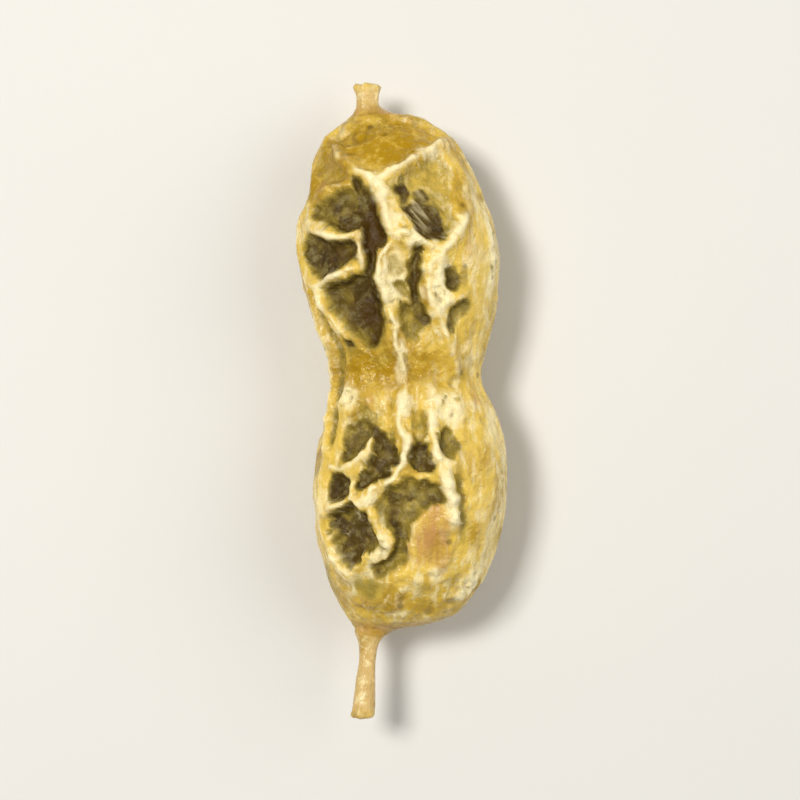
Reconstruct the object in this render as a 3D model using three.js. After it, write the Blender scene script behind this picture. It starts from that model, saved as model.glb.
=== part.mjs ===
// A dried pod of the pagoda tree, in millimetres, lying on its side with +Z up.
// It holds two seeds, so it has two swollen lobes with a waist between them. The stalk points
// to -Y and the stub of the style to +Y. The skin has dried onto the flesh: it is smooth at the
// two ends, the waist and the seam on the +X side, and a raised net round sunken cells elsewhere.

import * as THREE from "three";

// Overall sizes
const BODY_LENGTH = 25.5;
const STALK_LENGTH = 4.4;
const WAIST_AT = 12.2; // along the body, from where the stalk joins it
const SECTION_POWER = 2.15; // 2 is an ellipse, and more is boxier

// The two flat spots under the lobes that the pod lies on
const REST_DEPTH = 0.16; // how much of the belly the plane takes off
const REST_SPOTS = [[0.4, 6.6], [-0.1, 18.6]]; // plan points
const REST_RADIUS = 1.9; // within which the net fades out

// The skin's grid
const ROWS = 92;
const SEAM_COLUMNS = 8; // on the smooth seam band
const CROWN_COLUMNS = 33; // from the band over the crown to the left side
const BELLY_COLUMNS = 22; // from there under the belly back to the band
const COLUMNS = SEAM_COLUMNS + CROWN_COLUMNS + BELLY_COLUMNS;
const LEFT_SIDE_ANGLE = 196; // degrees, counted from the seam over the crown
const BAND_HALF_ANGLE = 38; // either side of the seam
const STALK_ROW_SHARE = 0.4; // rows on the stalk and the stub, as a share of those on the body
const SNAP_DISTANCE = 0.17; // grid points closer than this to a crest are moved on to it

// Stations from the stalk's cut to the tip of the style stub. Lengths are measured along the
// pod from where the stalk joins the body: [along, left edge, right edge, crown, belly].
const STATIONS = [
  [-STALK_LENGTH, -2.4, -1.3, 1.15, 0.1],
  [-4.1, -2.35, -1.25, 1.1, 0.05],
  [-3.0, -2.2, -1.25, 0.85, -0.15],
  [-1.8, -2.05, -1.2, 0.6, -0.3],
  [-0.8, -2.05, -1.0, 0.5, -0.5],
  [-0.2, -2.15, -0.5, 0.6, -0.75],
  [0.1, -2.35, 1.3, 0.95, -1.15],
  [0.5, -2.65, 2.55, 1.5, -1.65],
  [1.1, -3.0, 3.3, 2.1, -2.15],
  [2.0, -3.45, 3.9, 2.65, -2.7],
  [3.4, -3.85, 4.6, 3.2, -3.25],
  [5.2, -4.15, 5.05, 3.55, -3.6],
  [7.0, -4.3, 5.2, 3.65, -3.65],
  [8.8, -4.0, 5.15, 3.4, -3.45],
  [10.6, -3.6, 4.75, 2.95, -2.95],
  [WAIST_AT, -3.35, 4.0, 2.6, -2.6],
  [13.9, -3.75, 4.25, 2.9, -2.9],
  [15.8, -4.45, 4.7, 3.35, -3.35],
  [17.6, -4.95, 4.8, 3.65, -3.6],
  [19.3, -5.05, 4.65, 3.7, -3.65],
  [21.0, -4.6, 4.15, 3.4, -3.4],
  [22.6, -4.35, 3.6, 2.8, -2.8],
  [23.8, -4.0, 2.85, 2.15, -2.2],
  [24.6, -3.3, 1.95, 1.5, -1.6],
  [25.1, -2.7, 1.0, 0.95, -1.1],
  [25.4, -2.35, -0.3, 0.55, -0.75],
  [25.8, -2.15, -1.05, 0.35, -0.55],
  [26.4, -2.15, -1.05, 0.3, -0.6],
  [26.8, -2.25, -0.95, 0.3, -0.65],
];

// Ridges on the upper face, each as its half width and the points its crest runs through, which
// are [plan x, plan y, height over the smooth skin].
const RIDGES = [
  // the two arms of the fold below the tip
  [
    0.3,
    [-3.6, 24.2, 0], [-3.2, 23.6, 0.3], [-2.6, 22.9, 0.42],
    [-2.0, 22.2, 0.42], [-1.1, 21.8, 0.45],
  ],
  [
    0.36,
    [2.9, 24.0, 0], [2.4, 23.9, 0.3], [1.5, 23.5, 0.42],
    [0.7, 22.9, 0.42], [-0.2, 22.2, 0.42], [-1.1, 21.8, 0.45],
  ],
  // the spine of the tip lobe: broad and proud above, and a narrow crease on to the waist
  [0.45, [-1.1, 21.8, 0.4], [-0.9, 20.7, 0.5], [-0.5, 19.8, 0.52], [-0.2, 19.0, 0.5]],
  [
    0.32,
    [-0.2, 19.0, 0.5], [-0.9, 18.2, 0.48], [-1.1, 17.4, 0.42],
    [-0.9, 16.5, 0.42], [-0.6, 15.6, 0.45],
  ],
  [
    0.32,
    [-0.6, 15.6, 0.45], [-0.3, 14.9, 0.4], [-0.2, 14.0, 0.32],
    [-0.1, 13.2, 0.24], [0.0, 12.4, 0.1],
  ],
  // the folds round the wide cell right of the spine
  [
    0.3,
    [-0.9, 21.6, 0.2], [-0.5, 21.2, 0.3], [0.0, 20.3, 0.35],
    [0.4, 19.4, 0.38], [1.1, 18.8, 0.4],
  ],
  [0.32, [1.1, 18.8, 0.4], [2.0, 18.7, 0.38], [2.6, 19.3, 0.42], [3.0, 20.1, 0.4]],
  [0.42, [3.0, 20.1, 0.3], [3.1, 21.2, 0.16], [2.9, 22.3, 0.22], [2.4, 23.1, 0.1]],
  // the second spine and its branch
  [
    0.42,
    [2.6, 19.3, 0.42], [2.2, 18.5, 0.45], [1.7, 17.7, 0.45],
    [1.5, 16.8, 0.45], [1.7, 15.8, 0.4],
  ],
  [0.3, [1.7, 15.8, 0.4], [2.0, 14.9, 0.34], [2.2, 14.1, 0.25], [2.5, 13.2, 0]],
  [0.28, [1.8, 15.1, 0.34], [2.3, 15.8, 0.3], [2.9, 16.3, 0.2], [3.5, 16.7, 0]],
  // the net left of the spine
  [0.3, [-4.2, 21.4, 0.1], [-3.4, 21.5, 0.2], [-2.6, 21.6, 0.25], [-1.9, 20.9, 0.4]],
  [
    0.3,
    [-4.7, 20.0, 0.2], [-4.0, 19.5, 0.42], [-3.5, 19.2, 0.45],
    [-2.9, 19.0, 0.42], [-2.0, 19.2, 0.42],
  ],
  [
    0.28,
    [-1.9, 20.9, 0.4], [-1.7, 20.0, 0.38], [-2.0, 19.2, 0.42],
    [-1.9, 18.5, 0.4], [-1.8, 17.5, 0.4],
  ],
  [
    0.3,
    [-4.4, 16.9, 0.2], [-3.8, 16.8, 0.35], [-3.2, 17.2, 0.42],
    [-2.4, 17.6, 0.42], [-1.7, 17.5, 0.38], [-1.1, 17.3, 0.38],
  ],
  [
    0.28,
    [-3.8, 16.8, 0.35], [-3.7, 16.0, 0.36], [-3.2, 15.2, 0.34],
    [-2.7, 14.5, 0.25], [-2.1, 13.9, 0],
  ],
  // the fold along the left edge, and the cord that carries it on past the waist
  [
    0.3,
    [-4.0, 23.7, 0], [-4.3, 22.6, 0.2], [-4.2, 21.6, 0.22],
    [-4.4, 20.8, 0.2], [-4.8, 19.8, 0.2],
  ],
  [
    0.3,
    [-4.8, 19.8, 0.2], [-4.9, 18.8, 0.16], [-4.8, 17.8, 0.16],
    [-4.4, 16.9, 0.25], [-4.1, 16.0, 0.3],
  ],
  [
    0.28,
    [-4.1, 16.0, 0.3], [-3.9, 14.9, 0.32], [-3.4, 13.8, 0.34],
    [-3.1, 12.6, 0.34], [-3.1, 11.7, 0.34],
  ],
  [
    0.28,
    [-3.1, 11.7, 0.34], [-3.3, 10.5, 0.32], [-3.5, 9.3, 0.3],
    [-3.5, 8.1, 0.3], [-3.8, 7.0, 0.28],
  ],
  [
    0.3,
    [-3.8, 7.0, 0.28], [-3.8, 5.9, 0.3], [-3.6, 4.5, 0.35],
    [-3.2, 3.4, 0.38], [-2.7, 2.7, 0.38],
  ],
  // the main fold of the stalk lobe
  [
    0.4,
    [0.1, 12.4, 0], [0.2, 11.7, 0.3], [0.3, 10.6, 0.42],
    [0.1, 9.7, 0.4], [0.3, 8.8, 0.42], [0.1, 7.9, 0.42],
  ],
  [
    0.33,
    [0.1, 7.9, 0.42], [-0.5, 7.2, 0.42], [-1.3, 6.7, 0.45],
    [-1.6, 6.3, 0.45], [-1.3, 5.7, 0.42], [-0.7, 4.3, 0.42],
  ],
  [
    0.3,
    [-0.7, 4.3, 0.42], [-1.3, 3.8, 0.4], [-1.8, 3.3, 0.36],
    [-2.3, 2.9, 0.34], [-2.7, 2.7, 0.34],
  ],
  // the right fold of the stalk lobe and its short branch
  [
    0.38,
    [1.2, 12.3, 0], [1.5, 11.5, 0.25], [1.7, 10.8, 0.34],
    [1.5, 9.9, 0.36], [1.6, 9.2, 0.4], [2.1, 8.4, 0.42],
  ],
  [
    0.32,
    [2.1, 8.4, 0.42], [2.3, 7.6, 0.45], [2.5, 6.7, 0.45],
    [2.5, 5.8, 0.42], [2.4, 5.1, 0.3], [2.2, 4.5, 0],
  ],
  [0.28, [2.3, 7.7, 0.4], [3.0, 8.2, 0.25], [3.6, 8.4, 0]],
  // the small net left of the main fold
  [
    0.28,
    [-3.5, 8.1, 0.3], [-2.5, 7.9, 0.36], [-1.9, 8.4, 0.36],
    [-1.4, 8.9, 0.34], [-0.9, 9.5, 0.2], [-0.6, 10.0, 0],
  ],
  [0.26, [-2.4, 7.9, 0.36], [-2.3, 7.1, 0.36], [-2.2, 6.4, 0.38], [-1.6, 6.3, 0.42]],
  [0.26, [-3.8, 6.5, 0.3], [-3.1, 6.0, 0.32], [-2.2, 6.4, 0.38]],
  [0.26, [0.1, 7.9, 0.42], [0.9, 7.4, 0.25], [1.7, 7.4, 0.25], [2.3, 7.6, 0.42]],
  [0.26, [0.3, 9.0, 0.35], [1.1, 9.3, 0.2], [1.6, 9.2, 0.38]],
  // low folds that run out onto the waist and the stalk end
  [0.28, [-0.8, 12.4, 0], [-0.7, 11.0, 0.26], [-1.0, 10.2, 0.1]],
  [0.42, [-2.1, 12.2, 0], [-2.4, 10.9, 0.28], [-2.8, 9.6, 0.2]],
  [0.28, [-0.8, 2.5, 0], [0.5, 2.9, 0.2], [1.1, 2.3, 0.16], [1.9, 1.9, 0]],
  [0.3, [1.1, 3.0, 0.1], [2.0, 3.3, 0.2], [2.5, 4.2, 0.2], [2.6, 5.0, 0]],
];

// Sunken cells on the upper face:
// [depth, plan x, plan y, half size across, half size along, lean in degrees towards +X].
const CELLS = [
  [0.4, -0.5, 23.9, 2.2, 1.1, 0],
  [0.3, -3.3, 22.7, 0.5, 0.9, 20],
  [0.55, 1.2, 20.6, 1.3, 1.4, 25],
  [0.8, -1.45, 19.8, 0.4, 1.7, -14],
  [0.6, -3.0, 20.4, 0.9, 0.75, 0],
  [0.6, -3.5, 18.3, 1.1, 0.85, 0],
  [0.7, -2.2, 15.9, 1.15, 1.45, -20],
  [0.7, 0.55, 17.0, 0.4, 1.5, 0],
  [0.25, -0.3, 17.5, 0.5, 1.1, 0],
  [0.6, 0.9, 15.1, 0.5, 0.8, -10],
  [0.35, 2.8, 17.4, 0.6, 0.9, 0],
  [0.3, 2.9, 15.0, 0.4, 0.6, 0],
  [0.2, -2.4, 12.6, 0.4, 2.0, 0],
  [0.4, -2.3, 9.2, 0.8, 0.8, 0],
  [0.5, -0.6, 9.8, 0.4, 0.9, 0],
  [0.45, -0.8, 8.0, 0.7, 0.7, 30],
  [0.6, -3.0, 7.1, 0.5, 0.6, 0],
  [0.7, -2.5, 4.9, 1.05, 1.25, 0],
  [0.55, 1.0, 8.4, 0.5, 0.7, 0],
  [0.6, 0.2, 6.2, 1.1, 1.1, -35],
  [0.4, 1.5, 6.5, 0.7, 0.6, 0],
  [0.45, -0.1, 3.9, 0.35, 0.9, 0],
  [0.3, -0.8, 2.8, 0.8, 0.5, 0],
  [0.4, 2.4, 9.5, 0.45, 0.8, 0],
  [0.3, 2.95, 6.7, 0.35, 1.2, 0],
];

// Low swellings between the folds and on the seam side, in the same order with a height first
const SWELLINGS = [
  [0.3, 0.3, 19.0, 0.7, 0.5, 0],
  [0.28, -0.6, 4.2, 0.4, 0.5, 0],
  [0.22, 1.2, 4.6, 0.7, 1.3, 10],
  [0.18, 2.3, 11.0, 0.9, 0.8, 0],
  [0.16, -2.4, 11.0, 0.7, 0.9, 0],
  [0.12, 4.4, 19.3, 0.8, 1.6, 0],
  [0.12, 4.6, 14.2, 0.7, 1.2, 0],
  [0.14, 4.4, 7.4, 0.8, 1.7, 0],
  [0.12, 3.6, 3.8, 1.0, 1.3, 0],
];

// The net on the left flank and the underside, drawn by rule
const NET_FIRST_ANGLE = 176; // degrees, counted from the seam over the crown
const NET_LAST_ANGLE = 326;
const NET_CELLS_ROUND = 5;
const NET_CELLS_ALONG = 11;
const NET_JITTER = 0.62; // of a cell
const NET_DEPTH = 0.5;
const NET_RIDGE_HEIGHT = 0.3;
const NET_RIDGE_HALF_WIDTH = 0.32;
const NET_FLOOR_EDGE = 0.9; // how far from its walls a cell's floor is level
const NET_SEED = 20;

// Where the net fades, as two lengths, or two parts of the skin's unit normal, for none and all
const NET_STALK_FADE = [1.2, 3.4];
const NET_TIP_FADE = [24.6, 22.6];
const NET_WAIST_FADE = [0.4, 2.4]; // to either side of the waist
const NET_WAIST_SHARE = 0.3; // of the net, left in the waist
const NET_SEAM_FADE = [0.8, 0.55]; // of the normal's x
const NET_CROWN_FADE = [0.3, -0.05]; // of the normal's z
const NET_REST_FADE = [0.5 * REST_RADIUS, REST_RADIUS];

// The seam on the +X side: a fine groove between two low lips
const SEAM_DEPTH = 0.14;
const SEAM_HALF_WIDTH = 0.26;
const SEAM_LIP_HEIGHT = 0.1;
const SEAM_LIP_OFFSET = 0.75;
const SEAM_STALK_FADE = [0.3, 2.5];
const SEAM_TIP_FADE = [25, 23];

const toRadians = THREE.MathUtils.degToRad;
const signedPower = (value, power) => Math.sign(value) * Math.abs(value) ** power;

// A rounded bump, 1 in the middle, for a distance from the middle and a half width.
const bump = (distance, halfWidth) => Math.exp(-((distance / halfWidth) ** 2));

// From 0 at the first bound to 1 at the second, with level ends. Either bound may be the lower.
function fade(value, [none, all]) {
  const share = THREE.MathUtils.clamp((value - none) / (all - none), 0, 1);
  return share * share * (3 - 2 * share);
}

// A smooth curve through rows of numbers, read at a position from 0 to its end.
function splineThrough(rows) {
  const knots = [0];
  for (let i = 1; i < rows.length; i++) {
    const step = Math.hypot(...rows[i].map((value, k) => value - rows[i - 1][k]));
    knots.push(knots[i - 1] + Math.sqrt(step));
  }
  const slope = (i, k) => (rows[i + 1][k] - rows[i][k]) / (knots[i + 1] - knots[i]);
  const tangent = (i, k) => {
    if (i === 0) return slope(0, k);
    if (i === rows.length - 1) return slope(i - 1, k);
    const before = knots[i] - knots[i - 1];
    const after = knots[i + 1] - knots[i];
    return (slope(i - 1, k) * after + slope(i, k) * before) / (before + after);
  };
  const read = (position) => {
    let i = 0;
    while (i < rows.length - 2 && position > knots[i + 1]) i++;
    const span = knots[i + 1] - knots[i];
    const s = (position - knots[i]) / span;
    return rows[i].map(
      (value, k) =>
        value * (1 + 2 * s) * (1 - s) ** 2 +
        tangent(i, k) * span * s * (1 - s) ** 2 +
        rows[i + 1][k] * s * s * (3 - 2 * s) +
        tangent(i + 1, k) * span * s * s * (s - 1),
    );
  };
  return { end: knots[knots.length - 1], read };
}

// One cross-section: its place along the pod, its centre and its half sizes.
function sectionOf([along, left, right, crown, belly]) {
  return {
    along,
    x: (left + right) / 2,
    z: (crown + belly) / 2,
    halfWidth: (right - left) / 2,
    halfHeight: (crown - belly) / 2,
  };
}

const SECTION_COUNT = 1200;
const profile = splineThrough(STATIONS);
const sections = Array.from({ length: SECTION_COUNT }, (_, i) =>
  sectionOf(profile.read((profile.end * i) / (SECTION_COUNT - 1))),
);
const sectionAt = (along) => sections.find((section) => section.along >= along) ?? sections.at(-1);

// A point of the smooth skin. The angle runs from the seam, over the crown, to the left side.
function skinPoint(section, angle) {
  const power = 2 / SECTION_POWER;
  return new THREE.Vector3(
    section.x + section.halfWidth * signedPower(Math.cos(angle), power),
    section.along,
    section.z + section.halfHeight * signedPower(Math.sin(angle), power),
  );
}

// The point of the upper face that lies over a plan point.
function onCrown([x, along]) {
  const section = sectionAt(along);
  const share = Math.min(Math.abs(x - section.x) / section.halfWidth, 1);
  const rise = (1 - share ** SECTION_POWER) ** (1 / SECTION_POWER);
  return new THREE.Vector3(x, along, section.z + section.halfHeight * rise);
}

// Sections for the grid's rows: evenly spaced along the body's skin, and sparser on the stalk.
function rowSections() {
  const costs = [0];
  sections.slice(1).forEach((section, i) => {
    const before = sections[i];
    const widening = section.halfWidth - before.halfWidth;
    const length = Math.hypot(section.along - before.along, widening);
    const onStalk = section.along < 0 || section.along > BODY_LENGTH;
    costs.push(costs[i] + length * (onStalk ? STALK_ROW_SHARE : 1));
  });
  return Array.from({ length: ROWS }, (_, row) => {
    const wanted = (costs.at(-1) * row) / (ROWS - 1);
    return sections[costs.findIndex((cost) => cost >= wanted)];
  });
}

// Angles for the grid's columns: close on the crown, and wider on the belly and the seam band.
function columnAngles() {
  const spread = (from, to, count) =>
    Array.from({ length: count }, (_, i) => toRadians(from + ((to - from) * i) / count));
  return [
    ...spread(BAND_HALF_ANGLE, LEFT_SIDE_ANGLE, CROWN_COLUMNS),
    ...spread(LEFT_SIDE_ANGLE, 360 - BAND_HALF_ANGLE, BELLY_COLUMNS),
    ...spread(-BAND_HALF_ANGLE, BAND_HALF_ANGLE, SEAM_COLUMNS),
  ];
}

// A repeatable draw of numbers from 0 to 1.
function drawFrom(seed) {
  let state = seed;
  return () => {
    state = (state * 1664525 + 1013904223) % 2 ** 32;
    return state / 2 ** 32;
  };
}

// Middles and depths of the net's cells, in staggered rings on the smooth skin.
function netCells() {
  const draw = drawFrom(NET_SEED);
  const jittered = (place) => place + NET_JITTER * (draw() - 0.5);
  const found = [];
  for (let j = 0; j < NET_CELLS_ALONG; j++) {
    for (let k = 0; k < NET_CELLS_ROUND; k++) {
      const along = (BODY_LENGTH * jittered(j + 0.5)) / NET_CELLS_ALONG;
      const share = jittered(k + (j % 2 ? 0.75 : 0.25)) / NET_CELLS_ROUND;
      const angle = THREE.MathUtils.lerp(NET_FIRST_ANGLE, NET_LAST_ANGLE, share);
      const middle = skinPoint(sectionAt(along), toRadians(angle));
      found.push({ middle, depth: NET_DEPTH * (0.55 + 0.65 * draw()) });
    }
  }
  return found;
}

function ridgeOf([halfWidth, ...points]) {
  const crest = points.map(onCrown);
  const lines = crest.slice(1).map((point, i) => new THREE.Line3(crest[i], point));
  return { halfWidth, lines, heights: points.map((point) => point[2]) };
}

function spotOf([amount, x, along, across, length, lean]) {
  const tilt = toRadians(lean);
  const axis = new THREE.Vector3(Math.sin(tilt), Math.cos(tilt), 0);
  return { amount, middle: onCrown([x, along]), axis, across, length };
}

const ridges = RIDGES.map(ridgeOf);
const hollows = CELLS.map(spotOf);
const swellings = SWELLINGS.map(spotOf);
const cells = netCells();

// The nearest point of a ridge's crest, how far off it is and how high the crest stands there.
function nearestOnCrest(ridge, point) {
  let nearest = { distance: Infinity };
  ridge.lines.forEach((line, i) => {
    const share = line.closestPointToPointParameter(point, true);
    const crest = line.at(share, new THREE.Vector3());
    const distance = crest.distanceTo(point);
    const height = THREE.MathUtils.lerp(ridge.heights[i], ridge.heights[i + 1], share);
    if (distance < nearest.distance) nearest = { crest, distance, height };
  });
  return nearest;
}

// The net at a point: the depth of its cell, how far off the cell's nearest wall is, and which way.
function netAt(point) {
  const distances = cells.map((cell) => cell.middle.distanceTo(point));
  const own = distances.indexOf(Math.min(...distances));
  let wall = { distance: Infinity };
  cells.forEach((cell, i) => {
    if (i === own) return;
    const across = cell.middle.clone().sub(cells[own].middle);
    const distance = (distances[i] ** 2 - distances[own] ** 2) / (2 * across.length());
    if (distance < wall.distance) wall = { distance, towards: across.normalize() };
  });
  return { depth: cells[own].depth, wall };
}

// How strongly the net shows: on the lobes, and not on the ends, the waist, the seam, the crown
// or the two spots that the pod rests on.
function netStrength(point, normal) {
  const ends = fade(point.y, NET_STALK_FADE) * fade(point.y, NET_TIP_FADE);
  const fromWaist = fade(Math.abs(point.y - WAIST_AT), NET_WAIST_FADE);
  const waist = THREE.MathUtils.lerp(NET_WAIST_SHARE, 1, fromWaist);
  const sides = fade(normal.x, NET_SEAM_FADE) * fade(normal.z, NET_CROWN_FADE);
  const spots = REST_SPOTS.map(([x, along]) => Math.hypot(point.x - x, point.y - along));
  const rest = normal.z < 0 ? fade(Math.min(...spots), NET_REST_FADE) : 1;
  return ends * waist * sides * rest;
}

// A grid point, moved on to the crest of a ridge that it is next to, so that crests are sharp.
function snapped(point, normal) {
  const moved = point.clone();
  for (const ridge of ridges) {
    const { crest, distance } = nearestOnCrest(ridge, moved);
    if (distance < SNAP_DISTANCE) moved.copy(crest);
  }
  const { wall } = netAt(moved);
  const onNet = wall.distance < SNAP_DISTANCE && netStrength(point, normal) > 0.5;
  return onNet ? moved.addScaledVector(wall.towards, wall.distance) : moved;
}

// A spot's amount at a point: full in its middle, half at its edge, and soon nothing outside.
function amountAt(spot, point) {
  const offset = point.clone().sub(spot.middle);
  const along = offset.dot(spot.axis);
  const across = offset.addScaledVector(spot.axis, -along).length();
  const reach = (along / spot.length) ** 2 + (across / spot.across) ** 2;
  return spot.amount / (1 + reach ** 3);
}

function ridgeHeight(point) {
  const heights = ridges.map((ridge) => {
    const { distance, height } = nearestOnCrest(ridge, point);
    return height * bump(distance, ridge.halfWidth);
  });
  return Math.max(...heights);
}

function netHeight(point, normal) {
  const { depth, wall } = netAt(point);
  const crest = NET_RIDGE_HEIGHT * bump(wall.distance, NET_RIDGE_HALF_WIDTH);
  const floor = depth * fade(wall.distance, [0, NET_FLOOR_EDGE]);
  return (crest - floor) * netStrength(point, normal);
}

function seamHeight(point) {
  const section = sectionAt(point.y);
  if (point.x < section.x) return 0;
  const offset = Math.abs(point.z - section.z);
  const lips = SEAM_LIP_HEIGHT * bump(offset - SEAM_LIP_OFFSET, SEAM_HALF_WIDTH);
  const groove = SEAM_DEPTH * bump(offset, SEAM_HALF_WIDTH);
  return (lips - groove) * fade(point.y, SEAM_STALK_FADE) * fade(point.y, SEAM_TIP_FADE);
}

// Height of the wrinkled skin over the smooth skin.
function relief(point, normal) {
  const sunken = Math.max(...hollows.map((spot) => amountAt(spot, point)));
  const swollen = Math.max(...swellings.map((spot) => amountAt(spot, point)));
  return ridgeHeight(point) + swollen - sunken + netHeight(point, normal) + seamHeight(point);
}

// The closed grid: a point at each end, and rings between them.
function smoothSkin() {
  const angles = columnAngles();
  const rings = rowSections().map((section) => angles.map((angle) => skinPoint(section, angle)));
  const middleOf = (ring) =>
    ring.reduce((sum, point) => sum.add(point), new THREE.Vector3()).divideScalar(ring.length);
  return [middleOf(rings[0]), ...rings.flat(), middleOf(rings.at(-1))];
}

const ringVertex = (row, column) => 1 + row * COLUMNS + (column % COLUMNS);

// Triangles of the grid. Each square is split along the diagonal that stands prouder, because a
// diagonal along a crest keeps the crest whole.
function gridIndex(heights) {
  const index = [];
  const last = 1 + ROWS * COLUMNS;
  for (let column = 0; column < COLUMNS; column++) {
    index.push(0, ringVertex(0, column), ringVertex(0, column + 1));
    index.push(last, ringVertex(ROWS - 1, column + 1), ringVertex(ROWS - 1, column));
    for (let row = 0; row < ROWS - 1; row++) {
      const a = ringVertex(row, column);
      const b = ringVertex(row, column + 1);
      const c = ringVertex(row + 1, column + 1);
      const d = ringVertex(row + 1, column);
      if (heights[a] + heights[c] > heights[b] + heights[d]) index.push(a, c, b, a, d, c);
      else index.push(a, d, b, b, d, c);
    }
  }
  return index;
}

function geometryOf(points, index) {
  const geometry = new THREE.BufferGeometry().setFromPoints(points);
  geometry.setIndex(index);
  geometry.computeVertexNormals();
  return geometry;
}

// The pod's geometry: the smooth skin, wrinkled, with its lowest swellings cut flat to rest on.
// Its origin is under the middle of its bounding box, on the surface that it lies on.
function podGeometry() {
  const smooth = smoothSkin();
  const level = smooth.map(() => 0);
  const normals = geometryOf(smooth, gridIndex(level)).getAttribute("normal");
  const heights = [];
  const wrinkled = smooth.map((point, i) => {
    const normal = new THREE.Vector3().fromBufferAttribute(normals, i);
    const placed = snapped(point, normal);
    heights[i] = relief(placed, normal);
    return placed.addScaledVector(normal, heights[i]);
  });
  const restPlane = Math.min(...STATIONS.map((station) => station[4])) + REST_DEPTH;
  for (const point of wrinkled) point.z = Math.max(point.z, restPlane);
  const geometry = geometryOf(wrinkled, gridIndex(heights));
  geometry.computeBoundingBox();
  const { min, max } = geometry.boundingBox;
  return geometry.translate(-(min.x + max.x) / 2, -(min.y + max.y) / 2, -min.z);
}

const skin = new THREE.MeshStandardMaterial({ color: 0xc9a04a, roughness: 0.5, metalness: 0 });
const pod = new THREE.Mesh(podGeometry(), skin);
pod.name = "pod";

const part = new THREE.Group();
part.add(pod);
export default part;
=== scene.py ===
import math

import bpy
import numpy as np
from bpy.props import FloatProperty, FloatVectorProperty, PointerProperty
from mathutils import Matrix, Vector, noise


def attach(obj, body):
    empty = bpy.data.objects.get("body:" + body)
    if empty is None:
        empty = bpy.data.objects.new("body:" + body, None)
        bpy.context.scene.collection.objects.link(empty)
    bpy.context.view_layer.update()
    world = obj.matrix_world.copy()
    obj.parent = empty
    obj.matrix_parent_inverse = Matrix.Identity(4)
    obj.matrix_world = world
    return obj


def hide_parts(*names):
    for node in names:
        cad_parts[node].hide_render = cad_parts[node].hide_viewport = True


bl_info = {
    "name": "Pagoda Tree Pod",
    "version": (1, 0, 0),
    "blender": (4, 5, 0),
    "location": "View3D > Sidebar > Pod",
    "description": "Models a dried two-seeded pod with its net of wrinkles, and a stage for it",
    "category": "Add Mesh",
}

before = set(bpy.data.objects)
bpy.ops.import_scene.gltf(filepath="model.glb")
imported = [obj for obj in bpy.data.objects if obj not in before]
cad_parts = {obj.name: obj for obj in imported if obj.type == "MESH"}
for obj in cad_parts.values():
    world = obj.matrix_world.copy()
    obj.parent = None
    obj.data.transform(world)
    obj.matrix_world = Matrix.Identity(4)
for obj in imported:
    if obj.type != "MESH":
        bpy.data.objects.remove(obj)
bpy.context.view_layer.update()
MM = 0.001

# The pod's own origin is where the stalk joins the body. Its lengths are in millimetres.
BODY_LENGTH = 25.5
STALK_LENGTH = 4.4
WAIST_AT = 12.2
SECTION_POWER = 2.15  # 2 is an ellipse, and more is boxier
REST_PLANE = -3.49  # the level that the pod lies on
FRAME_OFFSET = np.array([0.0, -11.2, -REST_PLANE])  # from the pod's own origin to the frame's

# Stations from the stalk's cut to the style stub's tip:
# (along, left edge, right edge, crown, belly)
STATIONS = [
    (-STALK_LENGTH, -2.4, -1.3, 1.15, 0.1),
    (-4.1, -2.35, -1.25, 1.1, 0.05),
    (-3.0, -2.2, -1.25, 0.85, -0.15),
    (-1.8, -2.05, -1.2, 0.6, -0.3),
    (-0.8, -2.05, -1.0, 0.5, -0.5),
    (-0.2, -2.15, -0.5, 0.6, -0.75),
    (0.1, -2.35, 1.3, 0.95, -1.15),
    (0.5, -2.65, 2.55, 1.5, -1.65),
    (1.1, -3.0, 3.3, 2.1, -2.15),
    (2.0, -3.45, 3.9, 2.65, -2.7),
    (3.4, -3.85, 4.6, 3.2, -3.25),
    (5.2, -4.15, 5.05, 3.55, -3.6),
    (7.0, -4.3, 5.2, 3.65, -3.65),
    (8.8, -4.0, 5.15, 3.4, -3.45),
    (10.6, -3.6, 4.75, 2.95, -2.95),
    (WAIST_AT, -3.35, 4.0, 2.6, -2.6),
    (13.9, -3.75, 4.25, 2.9, -2.9),
    (15.8, -4.45, 4.7, 3.35, -3.35),
    (17.6, -4.95, 4.8, 3.65, -3.6),
    (19.3, -5.05, 4.65, 3.7, -3.65),
    (21.0, -4.6, 4.15, 3.4, -3.4),
    (22.6, -4.35, 3.6, 2.8, -2.8),
    (23.8, -4.0, 2.85, 2.15, -2.2),
    (24.6, -3.3, 1.95, 1.5, -1.6),
    (25.1, -2.7, 1.0, 0.95, -1.1),
    (25.4, -2.35, -0.3, 0.55, -0.75),
    (25.8, -2.15, -1.05, 0.35, -0.55),
    (26.4, -2.15, -1.05, 0.3, -0.6),
    (26.8, -2.25, -0.95, 0.3, -0.65),
]

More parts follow.
